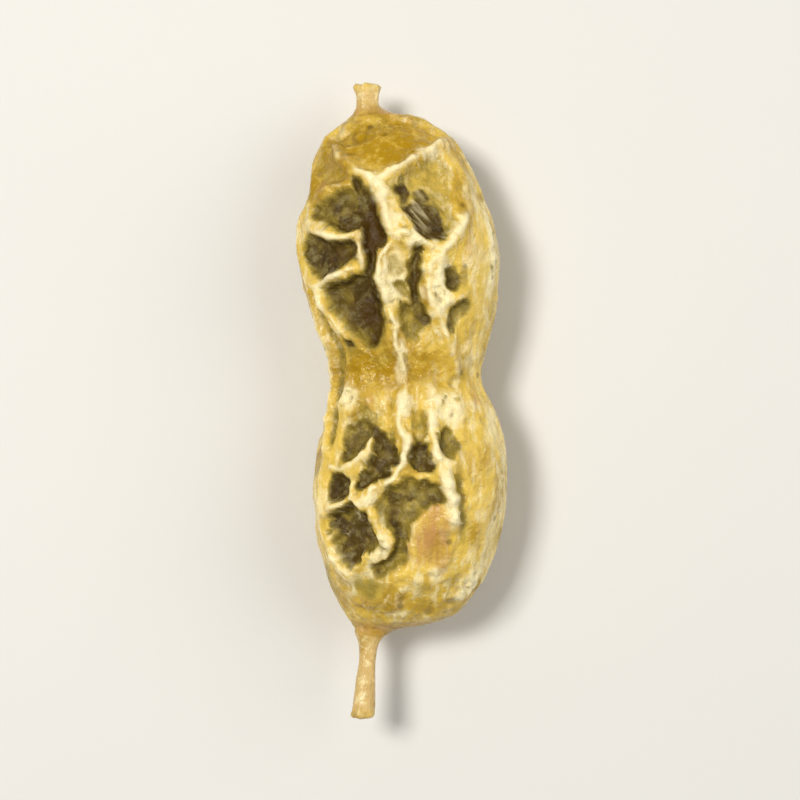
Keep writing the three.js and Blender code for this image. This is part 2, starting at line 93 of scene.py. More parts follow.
# Ridges on the upper face: the half width, and the crest's points (x, along, height)
RIDGES = [
    # the two arms of the fold below the tip
    (0.34, (-3.7, 24.3, 0.1), (-3.3, 23.7, 0.2), (-2.7, 22.9, 0.28), (-2.0, 22.3, 0.34), (-1.1, 21.8, 0.42)),
    (0.38, (2.6, 24.2, 0), (2.1, 23.8, 0.26), (1.3, 23.2, 0.38), (0.5, 22.7, 0.4), (-0.4, 22.1, 0.4),
     (-1.1, 21.8, 0.42)),
    # the spine of the tip lobe
    (0.56, (-1.1, 21.8, 0.4), (-0.8, 20.9, 0.47), (-0.5, 19.9, 0.48), (-0.2, 19.0, 0.46)),
    (0.26, (-0.2, 19.0, 0.4), (-0.9, 18.2, 0.48), (-1.0, 17.4, 0.42), (-0.8, 16.6, 0.42),
     (-0.6, 15.7, 0.45), (-0.3, 14.9, 0.4), (-0.2, 14.0, 0.34), (0.0, 13.2, 0.3), (0.2, 12.4, 0.25),
     (0.25, 11.6, 0.3)),
    # the folds round the wide cell right of the spine
    (0.34, (-0.2, 19.2, 0.4), (0.5, 19.1, 0.45), (1.2, 18.7, 0.4), (2.0, 18.5, 0.3), (2.6, 19.2, 0.42),
     (3.0, 19.8, 0.42), (3.3, 20.4, 0.2)),
    (0.4, (3.1, 20.3, 0.2), (3.1, 21.2, 0.16), (2.9, 22.3, 0.22), (2.4, 23.1, 0.1)),
    # the second spine and its branch
    (0.36, (2.5, 19.0, 0.4), (2.0, 18.3, 0.45), (1.5, 17.6, 0.45), (1.4, 16.8, 0.45), (1.6, 15.8, 0.4)),
    (0.24, (1.6, 15.8, 0.4), (2.0, 14.9, 0.34), (2.25, 14.1, 0.3), (2.5, 13.3, 0.28), (2.75, 12.5, 0.2),
     (2.9, 11.9, 0)),
    (0.24, (1.7, 16.0, 0.4), (2.4, 16.0, 0.36), (3.0, 16.25, 0.3), (3.6, 16.6, 0)),
    # the net left of the spine
    (0.2, (-2.0, 19.2, 0.22), (-1.75, 19.9, 0.14), (-1.8, 20.6, 0.22), (-2.2, 21.3, 0.1)),
    (0.2, (-3.3, 20.1, 0), (-2.8, 20.4, 0.12), (-2.2, 20.45, 0.16), (-1.6, 20.2, 0.18)),
    (0.26, (-4.2, 21.2, 0.1), (-3.5, 21.5, 0.24), (-2.6, 21.9, 0.16)),
    (0.26, (-4.8, 19.9, 0.1), (-4.3, 19.6, 0.26), (-3.6, 19.3, 0.34), (-2.9, 19.05, 0.36),
     (-2.0, 19.2, 0.34)),
    (0.24, (-2.0, 19.2, 0.34), (-1.9, 18.6, 0.36), (-1.8, 17.5, 0.38)),
    (0.26, (-4.4, 16.9, 0.2), (-3.8, 16.8, 0.35), (-3.2, 17.2, 0.42), (-2.5, 17.5, 0.42), (-1.8, 17.5, 0.4)),
    (0.24, (-3.8, 16.8, 0.35), (-3.7, 16.1, 0.36), (-3.1, 15.2, 0.34), (-2.6, 14.4, 0.3), (-2.1, 13.7, 0.1)),
    # the fold along the left edge, from the tip past the waist to the stalk lobe
    (0.26, (-4.0, 23.7, 0), (-4.3, 22.6, 0.2), (-4.3, 21.6, 0.22), (-4.5, 20.8, 0.2), (-4.9, 19.8, 0.2),
     (-5.0, 18.8, 0.16), (-4.8, 17.8, 0.16), (-4.5, 16.9, 0.25), (-4.2, 16.0, 0.3), (-3.8, 14.9, 0.34),
     (-3.4, 13.8, 0.4), (-3.15, 12.6, 0.4), (-3.15, 11.5, 0.4), (-3.4, 10.4, 0.36), (-3.55, 9.3, 0.3),
     (-3.6, 8.1, 0.3), (-3.75, 7.0, 0.28), (-3.7, 5.9, 0.3), (-3.55, 4.8, 0.35), (-3.2, 3.9, 0.38),
     (-2.8, 3.3, 0.34), (-2.45, 2.9, 0.3)),
    # the main fold of the stalk lobe
    (0.34, (0.3, 12.2, 0), (0.25, 11.4, 0.3), (0.0, 10.6, 0.42), (0.1, 9.7, 0.4), (0.3, 8.9, 0.42),
     (0.1, 8.1, 0.42)),
    (0.3, (0.1, 8.1, 0.42), (-0.5, 7.45, 0.42), (-1.25, 6.8, 0.46), (-1.6, 6.3, 0.48)),
    (0.22, (-1.6, 6.3, 0.48), (-1.3, 5.7, 0.42), (-0.95, 4.9, 0.4), (-0.7, 4.2, 0.38)),
    (0.22, (-0.7, 4.2, 0.38), (-0.3, 4.6, 0.28), (-0.1, 5.1, 0)),
    (0.2, (-0.7, 4.2, 0.38), (-1.15, 3.8, 0.36), (-1.6, 3.5, 0.36), (-2.1, 3.15, 0.3), (-2.45, 2.9, 0.3)),
    # the right fold of the stalk lobe and its short branch
    (0.46, (1.2, 12.3, 0), (1.4, 11.5, 0.3), (1.5, 10.6, 0.4), (1.5, 9.6, 0.42), (1.7, 8.7, 0.46),
     (1.95, 7.8, 0.52), (2.25, 6.9, 0.52), (2.5, 6.0, 0.5), (2.5, 5.3, 0.4), (2.3, 4.5, 0)),
    (0.24, (2.1, 7.8, 0.4), (2.5, 8.1, 0.32), (3.1, 8.3, 0)),
    # the small net left of the main fold
    (0.2, (-3.6, 8.0, 0.3), (-2.6, 7.95, 0.34), (-1.9, 8.35, 0.34), (-1.45, 8.8, 0.3), (-1.2, 9.3, 0.26),
     (-1.1, 9.9, 0.1)),
    (0.22, (-2.4, 7.9, 0.3), (-2.2, 7.1, 0.28), (-2.2, 6.4, 0.34), (-1.6, 6.3, 0.42)),
    (0.22, (-3.7, 6.0, 0.3), (-3.0, 6.05, 0.32), (-2.2, 6.4, 0.38)),
    (0.2, (0.1, 8.0, 0.26), (0.6, 7.5, 0.2), (1.3, 7.55, 0.16), (2.0, 7.7, 0.2)),
    # low folds that run out onto the waist and the stalk end
    (0.22, (-0.8, 12.3, 0), (-0.85, 11.4, 0.26), (-0.7, 10.6, 0.26), (-0.9, 10.0, 0)),
    (0.22, (-2.1, 13.6, 0), (-2.4, 12.6, 0.2), (-2.5, 11.6, 0.2), (-2.8, 10.4, 0)),
    (0.26, (-0.8, 2.5, 0), (0.5, 2.9, 0.2), (1.1, 2.3, 0.16), (1.9, 1.9, 0)),
    (0.26, (1.1, 3.0, 0.1), (2.0, 3.3, 0.2), (2.5, 4.2, 0.2), (2.6, 5.0, 0)),
]

# Sunken cells on the upper face: depth, darkness, and the outline's corners (x, along)
CELLS = [
    # the cap at the tip, and the flat beside it
    (0.3, 0.0, (-3.3, 24.2), (-2.0, 25.0), (0.0, 25.2), (1.4, 24.7), (2.1, 24.0), (0.7, 23.0),
     (-0.5, 22.25), (-1.1, 22.1), (-2.0, 22.5), (-2.8, 23.3)),
    (0.25, 0.2, (-4.1, 23.2), (-3.6, 23.8), (-3.1, 22.9), (-2.4, 22.0), (-3.6, 21.7), (-4.1, 22.1)),
    # the wide cell right of the spine, and its darker hollows
    (0.4, 0.27, (-0.6, 21.6), (0.35, 22.2), (1.15, 22.8), (1.9, 23.1), (2.4, 22.1), (2.5, 20.7),
     (2.5, 19.8), (2.1, 18.9), (1.6, 18.9), (0.9, 19.4), (0.35, 19.9), (0.0, 20.7)),
    (0.6, 0.95, (0.3, 20.4), (0.8, 20.7), (1.6, 20.6), (2.2, 19.8), (2.2, 19.0), (1.7, 18.9), (1.0, 19.3)),
    (0.5, 0.8, (-0.4, 21.5), (0.1, 21.75), (0.5, 21.3), (0.2, 20.9)),
    (0.5, 0.75, (0.7, 21.3), (1.2, 21.5), (1.4, 21.0), (0.9, 20.8)),
    # three cells left of the spine, and the dark furrow between them and it; the darker inner rows paint
    # shade on the lower part of the first cell and the right part of the third, and the furrow's darkness is
    # painted shadow of the spine
    (0.5, 0.7, (-3.7, 20.9), (-2.5, 21.4), (-1.75, 21.2), (-1.5, 20.3), (-1.8, 19.5), (-2.5, 19.35),
     (-3.5, 19.75), (-4.2, 20.2), (-4.1, 20.7)),
    (0.65, 1.0, (-3.2, 20.1), (-2.5, 20.4), (-1.8, 20.3), (-1.7, 19.8), (-2.1, 19.4), (-3.1, 19.6)),
    (0.6, 0.92, (-4.7, 18.9), (-4.25, 19.3), (-3.3, 18.85), (-2.35, 18.95), (-2.2, 18.3), (-2.75, 17.75),
     (-3.5, 17.2), (-4.2, 17.4), (-4.6, 18.1)),
    (0.6, 0.75, (-3.5, 16.5), (-2.75, 17.0), (-1.5, 17.2), (-1.15, 16.5), (-0.95, 15.4), (-0.85, 14.2),
     (-1.4, 13.7), (-2.0, 14.1), (-2.6, 15.0), (-3.2, 15.8)),
    (0.7, 1.0, (-2.0, 17.1), (-1.5, 17.1), (-1.15, 16.5), (-0.95, 15.4), (-0.9, 14.3), (-1.4, 13.8),
     (-2.0, 14.5), (-2.5, 15.6)),
    (0.6, 1.0, (-2.1, 21.9), (-1.4, 21.2), (-1.05, 19.9), (-0.65, 18.8), (-1.15, 18.3), (-1.25, 17.3),
     (-1.6, 17.3), (-1.6, 18.4), (-1.7, 19.3), (-2.0, 20.2), (-2.1, 21.2)),
    (0.4, 0.9, (-2.6, 14.1), (-2.3, 14.1), (-2.3, 13.75), (-2.55, 13.7)),
    # the pale strip between the two spines, and the furrow right of it
    (0.15, 0.3, (-0.6, 18.1), (-0.1, 18.0), (0.1, 17.4), (-0.4, 17.2)),
    (0.25, 0.45, (-0.4, 16.9), (0.2, 16.7), (0.4, 16.2), (-0.2, 16.3)),
    (0.4, 0.6, (-0.1, 15.9), (0.7, 15.6), (1.1, 14.9), (0.8, 14.3), (0.2, 14.5)),
    (0.4, 0.85, (0.65, 18.6), (1.1, 18.5), (0.95, 17.7), (0.8, 16.8), (0.95, 15.8), (1.25, 14.9),
     (0.95, 14.8), (0.6, 15.7), (0.45, 16.7), (0.5, 17.7)),
    # right of the second spine
    (0.35, 0.75, (2.15, 17.4), (2.6, 17.5), (2.85, 16.9), (2.6, 16.4), (2.15, 16.6)),
    (0.3, 0.65, (2.0, 14.7), (2.5, 15.4), (3.1, 16.0), (3.25, 15.8), (2.7, 15.0), (2.3, 14.4)),
    # the net left of the stalk lobe's main fold
    (0.45, 0.7, (-2.5, 9.8), (-1.85, 10.2), (-1.3, 9.9), (-1.4, 9.3), (-1.8, 8.75), (-2.2, 8.35),
     (-2.75, 8.5), (-2.9, 9.2)),
    (0.25, 0.3, (-2.3, 10.4), (-1.8, 10.9), (-1.2, 10.7), (-1.1, 9.9), (-1.9, 9.7), (-2.4, 9.9)),
    (0.5, 0.9, (-1.1, 9.8), (-0.7, 9.5), (-0.2, 9.0), (-0.15, 8.4), (-0.7, 7.8), (-1.3, 7.25),
     (-1.9, 6.8), (-2.0, 7.2), (-1.7, 7.9), (-1.2, 8.8)),
    (0.5, 1.0, (-3.3, 7.7), (-2.55, 7.65), (-2.4, 6.8), (-2.6, 6.35), (-3.25, 6.35), (-3.45, 6.9)),
    (0.65, 0.9, (-3.1, 5.85), (-2.3, 6.1), (-1.75, 5.8), (-1.35, 5.1), (-1.1, 4.2), (-1.65, 3.6),
     (-2.4, 3.1), (-2.85, 3.6), (-3.25, 4.6), (-3.4, 5.4)),
    # right of the main fold
    (0.5, 0.9, (0.6, 8.9), (1.1, 9.1), (1.4, 8.6), (1.6, 7.9), (0.95, 7.7), (0.45, 8.0)),
    (0.25, 0.35, (0.5, 10.6), (1.1, 10.6), (1.2, 9.4), (0.6, 9.3)),
    (0.5, 0.6, (-0.65, 6.95), (0.0, 7.3), (0.6, 7.3), (1.5, 7.2), (1.9, 6.5), (1.2, 5.9), (0.6, 5.4),
     (0.4, 4.4), (0.2, 3.6), (-0.4, 3.0), (-1.1, 2.8), (-1.3, 3.3), (-0.6, 3.6), (-0.15, 4.1),
     (-0.4, 4.9), (-0.95, 5.6), (-1.1, 6.2)),
    (0.6, 0.85, (-0.6, 6.6), (0.0, 6.9), (0.4, 6.4), (0.2, 5.6), (0.1, 4.6), (-0.1, 4.4), (-0.35, 5.1),
     (-0.85, 5.8)),
    (0.3, 0.55, (1.85, 9.6), (2.3, 9.8), (2.65, 9.2), (2.5, 8.5), (1.95, 8.6)),
    (0.2, 0.3, (2.5, 7.7), (2.9, 7.5), (3.1, 6.6), (2.9, 5.6), (2.75, 6.5)),
]

# Narrow furrows: half width, darkness, and points (x, along, depth)
FURROWS = [
    # inside the left edge, past the waist
    (0.2, 0.45, (-4.3, 16.7, 0), (-3.95, 15.9, 0.3), (-3.45, 14.8, 0.35), (-3.0, 13.8, 0.35),
     (-2.85, 12.6, 0.35), (-2.9, 11.4, 0.35), (-3.15, 10.2, 0.3), (-3.4, 9.0, 0.2), (-3.5, 8.2, 0)),
    # beside the main fold at the waist
    (0.2, 0.25, (-0.5, 12.0, 0), (-0.45, 11.2, 0.2), (-0.4, 10.3, 0.25), (-0.3, 9.6, 0.2)),
    (0.2, 0.25, (0.8, 12.2, 0), (0.75, 11.3, 0.2), (0.6, 10.5, 0.2), (0.7, 9.8, 0)),
    # where the stalk joins the lobe; its slight darkness is painted shadow
    (0.4, 0.15, (-2.4, 1.1, 0), (-1.5, 0.8, 0.14), (-0.7, 0.7, 0.14), (0.4, 0.9, 0)),
]

# Low swellings, in the same order with a height first
SWELLINGS = [
    (0.3, 0.3, 19.0, 0.7, 0.5, 0),
    (0.12, -0.75, 4.3, 0.35, 0.5, 0),
    (0.14, 1.2, 4.6, 0.7, 1.3, 10),
    (0.18, 2.3, 11.0, 0.9, 0.8, 0),
    (0.16, -2.4, 11.0, 0.7, 0.9, 0),
    (0.12, 4.4, 19.3, 0.8, 1.6, 0),
    (0.12, 4.6, 14.2, 0.7, 1.2, 0),
    (0.14, 4.4, 7.4, 0.8, 1.7, 0),
    (0.12, 3.6, 3.8, 1.0, 1.3, 0),
]

# Patches of colour on the upper face: (strength, x, along, half across, half along, lean)
PATCHES = {
    "amber": [
        (1.0, -0.6, 23.9, 2.4, 1.5, 0),
        (2.2, -3.5, 22.6, 1.0, 1.3, 20),
        (0.5, 3.0, 20.9, 0.55, 1.6, 0),
        (0.8, 1.15, 16.5, 0.2, 1.0, 0),
        (1.2, -1.35, 19.6, 0.5, 2.0, 12),
        (0.8, -3.4, 18.4, 0.9, 0.6, 0),
        (0.9, -1.4, 15.2, 0.6, 1.3, 0),
        (0.3, 3.4, 14.8, 0.7, 1.3, 0),
        (0.9, -0.9, 13.0, 3.2, 1.5, 0),
        (0.35, 2.4, 12.6, 1.6, 1.2, 0),
        (0.5, 4.1, 8.2, 0.5, 1.1, 0),
        (0.6, 3.6, 4.6, 0.5, 0.9, 0),
        (0.5, 1.9, 4.0, 0.4, 1.2, 0),
        (0.5, 0.5, 0.9, 3.0, 0.7, 0),
        (0.6, -3.0, 1.6, 0.8, 1.4, 0),
    ],
    "pale": [
        (0.8, 1.6, 23.1, 0.4, 0.9, 55),
        (0.5, 0.0, 20.2, 0.5, 0.8, 0),
        # the next three lie on the right rim and the tip's outline: pale skin brightened as painted rim
        # highlight
        (1.1, 4.4, 18.6, 0.4, 2.6, 0),
        (0.9, 4.9, 6.8, 0.3, 2.4, 0),
        (0.7, 0.6, 25.1, 1.3, 0.2, 0),
        (0.8, 0.7, 18.9, 0.7, 0.45, 0),
        (0.9, -0.2, 17.0, 0.6, 1.5, 0),
        (1.2, 2.0, 16.8, 0.45, 1.2, 0),
        (0.8, 0.1, 13.2, 0.3, 1.6, 0),
        (0.9, -2.4, 11.2, 0.6, 0.8, 0),
        (1.0, 2.25, 6.8, 0.4, 1.3, -14),
        (1.2, 0.25, 10.9, 0.36, 0.9, 0),
        (0.9, 2.35, 10.8, 0.9, 0.8, 0),
        (0.5, 3.7, 10.1, 0.5, 0.4, 0),
        (0.7, 3.85, 5.6, 0.35, 0.45, 0),
        (1.0, -1.45, 6.4, 0.35, 0.45, 0),
        (1.3, -0.8, 4.2, 0.36, 0.5, 0),
        (0.8, 1.6, 2.9, 0.4, 0.5, 0),
        (1.3, 3.3, 2.1, 0.5, 1.2, 38),
        (0.6, -1.3, 3.1, 0.6, 0.3, 0),
        (0.7, 0.2, 0.7, 0.6, 0.25, 0),
        (0.6, 0.2, 2.0, 0.3, 0.4, 0),
        (0.6, 2.3, 1.7, 0.5, 0.3, 20),
        (0.6, -2.3, 2.2, 0.3, 0.6, 20),
    ],
    "rosy": [
        (0.4, -3.7, 22.2, 0.5, 0.8, 0),
        (0.4, 3.4, 18.2, 0.7, 1.2, 0),
        (0.5, 2.1, 23.5, 0.4, 0.5, 0),
        (0.4, 0.1, 12.9, 0.5, 1.2, 0),
        (0.5, -1.6, 11.0, 0.4, 0.6, 0),
        (0.5, 3.5, 11.3, 0.5, 0.6, 0),
        (0.8, 1.3, 4.7, 0.85, 1.7, 5),
        (0.4, 1.7, 3.6, 0.8, 0.9, 0),
        (0.4, -1.8, 1.4, 0.5, 0.5, 0),
    ],
    "olive": [
        (0.8, 3.1, 17.0, 0.3, 0.5, 0),
        (0.8, 1.0, 9.9, 0.3, 0.7, 0),
        (1.7, 2.95, 6.2, 0.34, 1.5, 0),
        (0.7, -1.9, 10.8, 0.35, 0.5, 0),
        (1.0, -1.6, 2.3, 0.8, 0.8, 0),
        (0.6, 0.9, 2.0, 0.5, 0.5, 0),
        (0.7, 2.6, 2.6, 0.4, 0.4, 0),
    ],
}

# Random fields, in layers of (strength, size of the lumps in millimetres, seed)
WANDER = [(0.12, 2.4, 0), (0.16, 0.9, 5)]  # moves the drawn ridges and cells sideways
FINE_WANDER = [(1, 0.4, 35)]
NET_WANDER = [(0.2, 1.3, 71)]
SEAM_WANDER = [(0.12, 3.5, 40)]
PATCH_WANDER = [(0.5, 1.5, 30)]  # moves the patches of colour
UNEVENNESS = [(0.42, 1.4, 9), (0.4, 0.55, 10)]  # of the ridges' width and height
NET_UNEVENNESS = [(0.6, 1.8, 70)]
RAGGEDNESS = [(0.22, 1.1, 6)]  # moves the cells' edges in and out
FINE_RAGGEDNESS = [(1, 0.4, 7)]
CLOUDS = [(0.3, 1.2, 64)]  # in the cells' darkness
FINE_CLOUDS = [(1, 0.45, 65)]
SEAM_PALENESS_AND_RIM_LIGHT = [(0.25, 2.6, 72)]
LUMPS = [(0.08, 3.0, 16), (0.048, 1.2, 17)]  # in the whole body
GRAIN = [(0.016, 0.5, 14), (0.0112, 0.25, 15)]
CELL_FOLDS = [(0.08, 0.9, 33), (0.048, 0.45, 34)]
PAPERY_FOLDS = [(0.08, 0.7, 18)]  # broken ones, on the smooth skin
PAPERY_BREAKS = [(1, 1.8, 19)]
CRUMPLES = [(0.12, 0.55, 20)]  # in the pale papery patches
SHRIVEL_FOLDS = [(0.16, 0.38, 26)]  # broken ones, in the stalk lobe's cells
SHRIVEL_BREAKS = [(1, 0.8, 27)]
SIDE_FOLDS = [(0.09, 1, 45)]  # down the ridges' flanks, where lengths are in shares of their spacing
PLEATS = [(1, 0.45, 12)]
FIBRES = [(1, 0.5, 21)]
FIBRE_LUMPS = [(0.7, 0.5, 22)]
POCKS = [(1, 0.32, 63)]
SEED_SHIFT = np.array([17.3, -9.1, 5.7])  # how far apart the noise of two seeds lies

# The stalk lobe is more shrivelled: values for the tip lobe and for the stalk lobe
SHRIVELLED = (12, 10)  # where along the pod that sets in, and where it is full
FINE_WANDER_REACH = (0.06, 0.14)
FINE_RAGGED_REACH = (0.12, 0.24)
FINE_CLOUD_SHARE = (0.2, 0.5)
CELL_FOLD_SHARE = (1, 0.5)
SHRIVEL_FOLD_SHARE = (0, 1)

# Spans along the pod: where a thing begins, is full, is full for the last time, and ends
BODY_SPAN = (-0.1, 0.5, 25.2, 25.6)
NET_SPAN = (1.2, 3.4, 22.6, 24.6)
SEAM_SPAN = (0.3, 2.5, 23, 25)
SEAM_SIDE_SPAN = (1, 3, 22, 25)

# Ranges of the skin's normal, from where a thing doesn't show to where it shows fully
UPPER_FACE = (-0.05, 0.15)
LEVEL_FACE = (0.2, 0.7)
BESIDE_FACE = (0.6, 0.3)  # below the upper face
BELOW_FACE = (0.1, -0.35)
SEAM_SIDE_FACE = (0.4, 0.85)
OFF_SEAM_FACE = (0.8, 0.55)

# A ridge's section: a sharp crest on a broad foot, as shares of its height and its half width
CREST_SHARE = 0.8
CREST_WIDTH = 0.7
CREST_ROUNDING = 0.06
FOOT_SHARE = 0.35
FOOT_WIDTH = 1.4
# The crests' cream is pale skin, brightened as painted highlight, the more so on higher ridges
CREAM_WIDTH = 0.5
CREAM_HEIGHTS = (0.06, 0.48)  # crests up to the first height aren't cream, and from the second all cream
LOW_RIDGE = (0.28, 0.08)  # below the first height a ridge sinks a little with its cell, and then fully
LINE_STEPS = 8  # from one drawn point of a ridge or a furrow to the next
FOLD_SHARPNESS = 2.4

# The small folds that run down from the ridges' crests
SIDE_FOLD_SPACING = 0.5
SIDE_FOLD_OFFSET = 0.25
SIDE_FOLD_REACH = 0.28
SIDE_FOLD_HEIGHTS = (0.1, 0.4)  # the ridge heights where they set in, and are full
RIDGE_APART = 30.0  # keeps the side folds of two ridges unlike

# The cells on the upper face
CELL_EDGE = 0.3  # how far outside its outline a cell starts to sink
CELL_WALL = 0.3  # how far inside it the cell reaches its depth
CELL_SHADE = 0.06  # and its darkness
FLOOR_FROM_CREST = (0, 0.35)  # how far off a crest the floors may begin to sink, and sink fully
SHADE_FROM_CREST = (0.03, 0.28)
FURROW_SHADE = (0.04, 0.25)  # the depths where a furrow starts to be dark, and is all dark
CELL_STEPS = 6  # from one corner to the next
FAR = 9.0  # stands for any distance that is too large to matter

# The net on the left flank and the underside, drawn by rule
NET_FIRST_ANGLE = 176  # in degrees, from +X over the crown
NET_LAST_ANGLE = 326
NET_CELLS_ROUND = 5
NET_CELLS_ALONG = 11
NET_STAGGER = (0.25, 0.75)  # of every other row
NET_JITTER = 0.62
NET_SEED = 20
NET_DEPTH = 0.5
NET_DEPTH_RANGE = (0.55, 1.2)  # the shallowest and the deepest cell's share of it
NET_FLOOR_EDGE = 0.9  # how far off its walls a cell is that deep
NET_RIDGE_HEIGHT = 0.2
NET_RIDGE_HALF_WIDTH = 0.32
NET_SHADE = 1.4
NET_SHADE_EDGE = (0.1, 0.6)
NET_LIGHT_SHARE = 0.45  # cells shallower than this share of the depth aren't dark
NET_WAIST_SHARE = 0.3  # how strong the net is at the waist
NET_WAIST_REACH = (0.4, 2.4)
REST_SPOTS = [(0.4, 6.6), (-0.1, 18.6)]  # x and along of the flat spots, which have no net
REST_RADIUS = 1.9

# The seam on the +X side
SEAM_DEPTH = 0.14
SEAM_HALF_WIDTH = 0.26
SEAM_LIP_HEIGHT = 0.1
SEAM_LIP_OFFSET = 0.75
# how pale the +X side is: pale seam skin with painted rim light on it
SEAM_PALE_AND_LIT_SHARE = 0.5

# Fine streaks that cross the wide cell right of the spine
STREAKED = (1, 1.2, 20.5, 1.3, 1.5, 25)  # a spot: strength, x, along, half across, half along, lean
STREAK_WIDTH = 0.6
STREAK_LENGTH = 2.4
STREAK_HEIGHT = 0.1
STREAK_SHARPNESS = 2.2
STREAK_SEED = 3

# Long pleats at the waist and at both ends, and in the rosy patches
ALONG_PLEATS = np.array([1, 0.16, 1])
PLEAT_HEIGHT = 0.045
ROSY_PLEAT_HEIGHT = 0.06
WAIST_PLEAT_REACH = 3.2
END_PLEAT_SHARE = 0.4
TIP_PLEATS = (22.5, 24)
STALK_END_PLEATS = (2.5, 1)
STALK_END_CRUMPLES = (3.5, 1.5)
STALK_END_CRUMPLE_SHARE = 0.25

# Dark pocks in the papery patches
POCK_SHADE = 0.35
POCKED = (0.1, 0.6)
POCKED_PAPER = (0.35, 0.7)

# The stalk and the style stub: fibres, torn ends, and a collar where the stalk joins the body
ALONG_FIBRES = np.array([1, 0.15, 1])
FIBRE_HEIGHT = 0.035
TORN_HEIGHT = 0.07
TORN_STUB = (26.2, 26.8)
TORN_STALK = (0.6 - STALK_LENGTH, -STALK_LENGTH)
COLLAR_HEIGHT = 0.1
COLLAR_AT = -0.35
COLLAR_HALF_WIDTH = 0.3
ROOTS_AT = (-0.1, BODY_LENGTH)  # where the stalk and the stub grow out of the body
ROOT_REACH = 0.4
ROOT_ROSY_SHARE = 0.6
ROOT_COVER = 0.7  # how much of the stalk's own colour is covered there
TORN_COVER = 0.6  # and at the torn ends

# Blotches of colour beside and below the upper face: strength and seed
BLOTCHES = {"amber": (0.9, 60), "olive": (0.8, 61), "rosy": (0.4, 62), "pale": (0.8, 63)}
BLOTCH_SIZE = 1.7
BLOTCH_EDGE = (0.15, 0.6)
BLOTCH_OVER_PALE = 0.8

# The modelled cage, which subdivision makes fine
CAGE_COLUMNS = 80
CAGE_RINGS = 70
CAGE_LEVELS = 2
STALK_RING_SHARE = 0.45
CAP_INSET = 0.12
INNER_REACH = 0.93  # the share of a section inside which points, on the end caps, stay put

# The stage, in metres: each light's place, size, power and colour
AIM_HEIGHT = 0.004  # the pod's middle, which the lights and the camera face
LIGHTS = {
    "key light": ((-0.09, 0.05, 0.22), 0.06, 0.44, (1, 0.98, 0.95)),
    "fill light": ((0.18, 0.04, 0.18), 0.2, 0.25, (1, 0.99, 0.97)),
}
WORLD_COLOUR = (1, 0.985, 0.96, 1)
WORLD_STRENGTH = 0.27
SENSOR_WIDTH = 36.0


def linear(red, green, blue):
    """A display colour, in numbers up to 255, as the linear colour that Blender takes."""
    shares = [value / 255 for value in (red, green, blue)]
    return tuple(s / 12.92 if s <= 0.04045 else ((s + 0.055) / 1.055) ** 2.4 for s in shares)


def fade(value, none, full):
    """From 0 where value is none to 1 where it is full, with level ends."""
    share = np.clip((value - none) / (full - none), 0, 1)
    return share * share * (3 - 2 * share)


def within(value, span):
    """1 in the middle of a span, fading to 0 at its two ends."""
    begin, first_full, last_full, end = span
    return fade(value, begin, first_full) * fade(value, end, last_full)


def bump(distance, half_width):
    """A rounded bump, 1 in the middle."""
    return np.exp(-((distance / half_width) ** 2))


def spline(rows, count):
    """Count rows along a smooth curve that runs through the given rows."""
    rows = np.array(rows, float)
    spans = np.sqrt(np.linalg.norm(np.diff(rows, axis=0), axis=1))
    knots = np.concatenate([[0], np.cumsum(spans)])
    slopes = np.diff(rows, axis=0) / spans[:, None]
    before, after = spans[:-1, None], spans[1:, None]
    inner = (slopes[:-1] * after + slopes[1:] * before) / (before + after)
    tangents = np.vstack([slopes[:1], inner, slopes[-1:]])
    places = np.linspace(0, knots[-1], count)
    i = np.clip(np.searchsorted(knots, places, side="right") - 1, 0, len(rows) - 2)
    s = ((places - knots[i]) / spans[i])[:, None]
    span = spans[i][:, None]
    starts = rows[i] * (1 + 2 * s) + tangents[i] * span * s
    ends = rows[i + 1] * (3 - 2 * s) + tangents[i + 1] * span * (s - 1)
    return starts * (1 - s) ** 2 + ends * s**2


class Profile:
    """The smooth pod: the middle and half sizes of its section at any length along it."""

    def __init__(self, stations, count=1200):
        self.along, left, right, crown, belly = spline(stations, count).T
        self.columns = [(left + right) / 2, (crown + belly) / 2, (right - left) / 2, (crown - belly) / 2]

    def at(self, along):
        """x and z of the middle, and the half width and half height."""
        return [np.interp(along, self.along, column) for column in self.columns]

    def at_angle(self, along, angle):
        """The skin's point at an angle round its section, from +X over the crown."""
        x, z, half_width, half_height = self.at(along)
        power = 2 / SECTION_POWER
        across = math.copysign(abs(math.cos(angle)) ** power, math.cos(angle))
        up = math.copysign(abs(math.sin(angle)) ** power, math.sin(angle))
        return [x + half_width * across, along, z + half_height * up]

    def on_crown(self, x, along):
        """Points of the upper face over plan points."""
        middle_x, middle_z, half_width, half_height = self.at(along)
        share = np.clip(np.abs(x - middle_x) / half_width, 0, 1)
        rise = (1 - share**SECTION_POWER) ** (1 / SECTION_POWER)
        return np.stack([x, along, middle_z + half_height * rise], axis=-1)

    def on_skin(self, points):
        """Points beside the skin, moved straight towards their section's middle, on to it."""
        x, z, half_width, half_height = self.at(points[:, 1])
        across = (points[:, 0] - x) / half_width
        up = (points[:, 2] - z) / half_height
        reach = (np.abs(across) ** SECTION_POWER + np.abs(up) ** SECTION_POWER) ** (1 / SECTION_POWER)
        factor = np.where(reach > INNER_REACH, 1 / np.maximum(reach, INNER_REACH), 1)
        return np.stack(
            [x + half_width * across * factor, points[:, 1], z + half_height * up * factor], axis=-1
        )

    def rings(self, count):
        """Lengths for the cage's rings: even steps on the body's skin, and wider ones on the stalk."""
        half_width = self.columns[2]
        steps = np.hypot(np.diff(self.along), np.diff(half_width))
        on_body = (self.along[1:] > 0) & (self.along[1:] < BODY_LENGTH)
        costs = np.concatenate([[0], np.cumsum(np.where(on_body, 1, STALK_RING_SHARE) * steps)])
        return np.interp(np.linspace(0, costs[-1], count), costs, self.along)


profile = Profile(STATIONS)


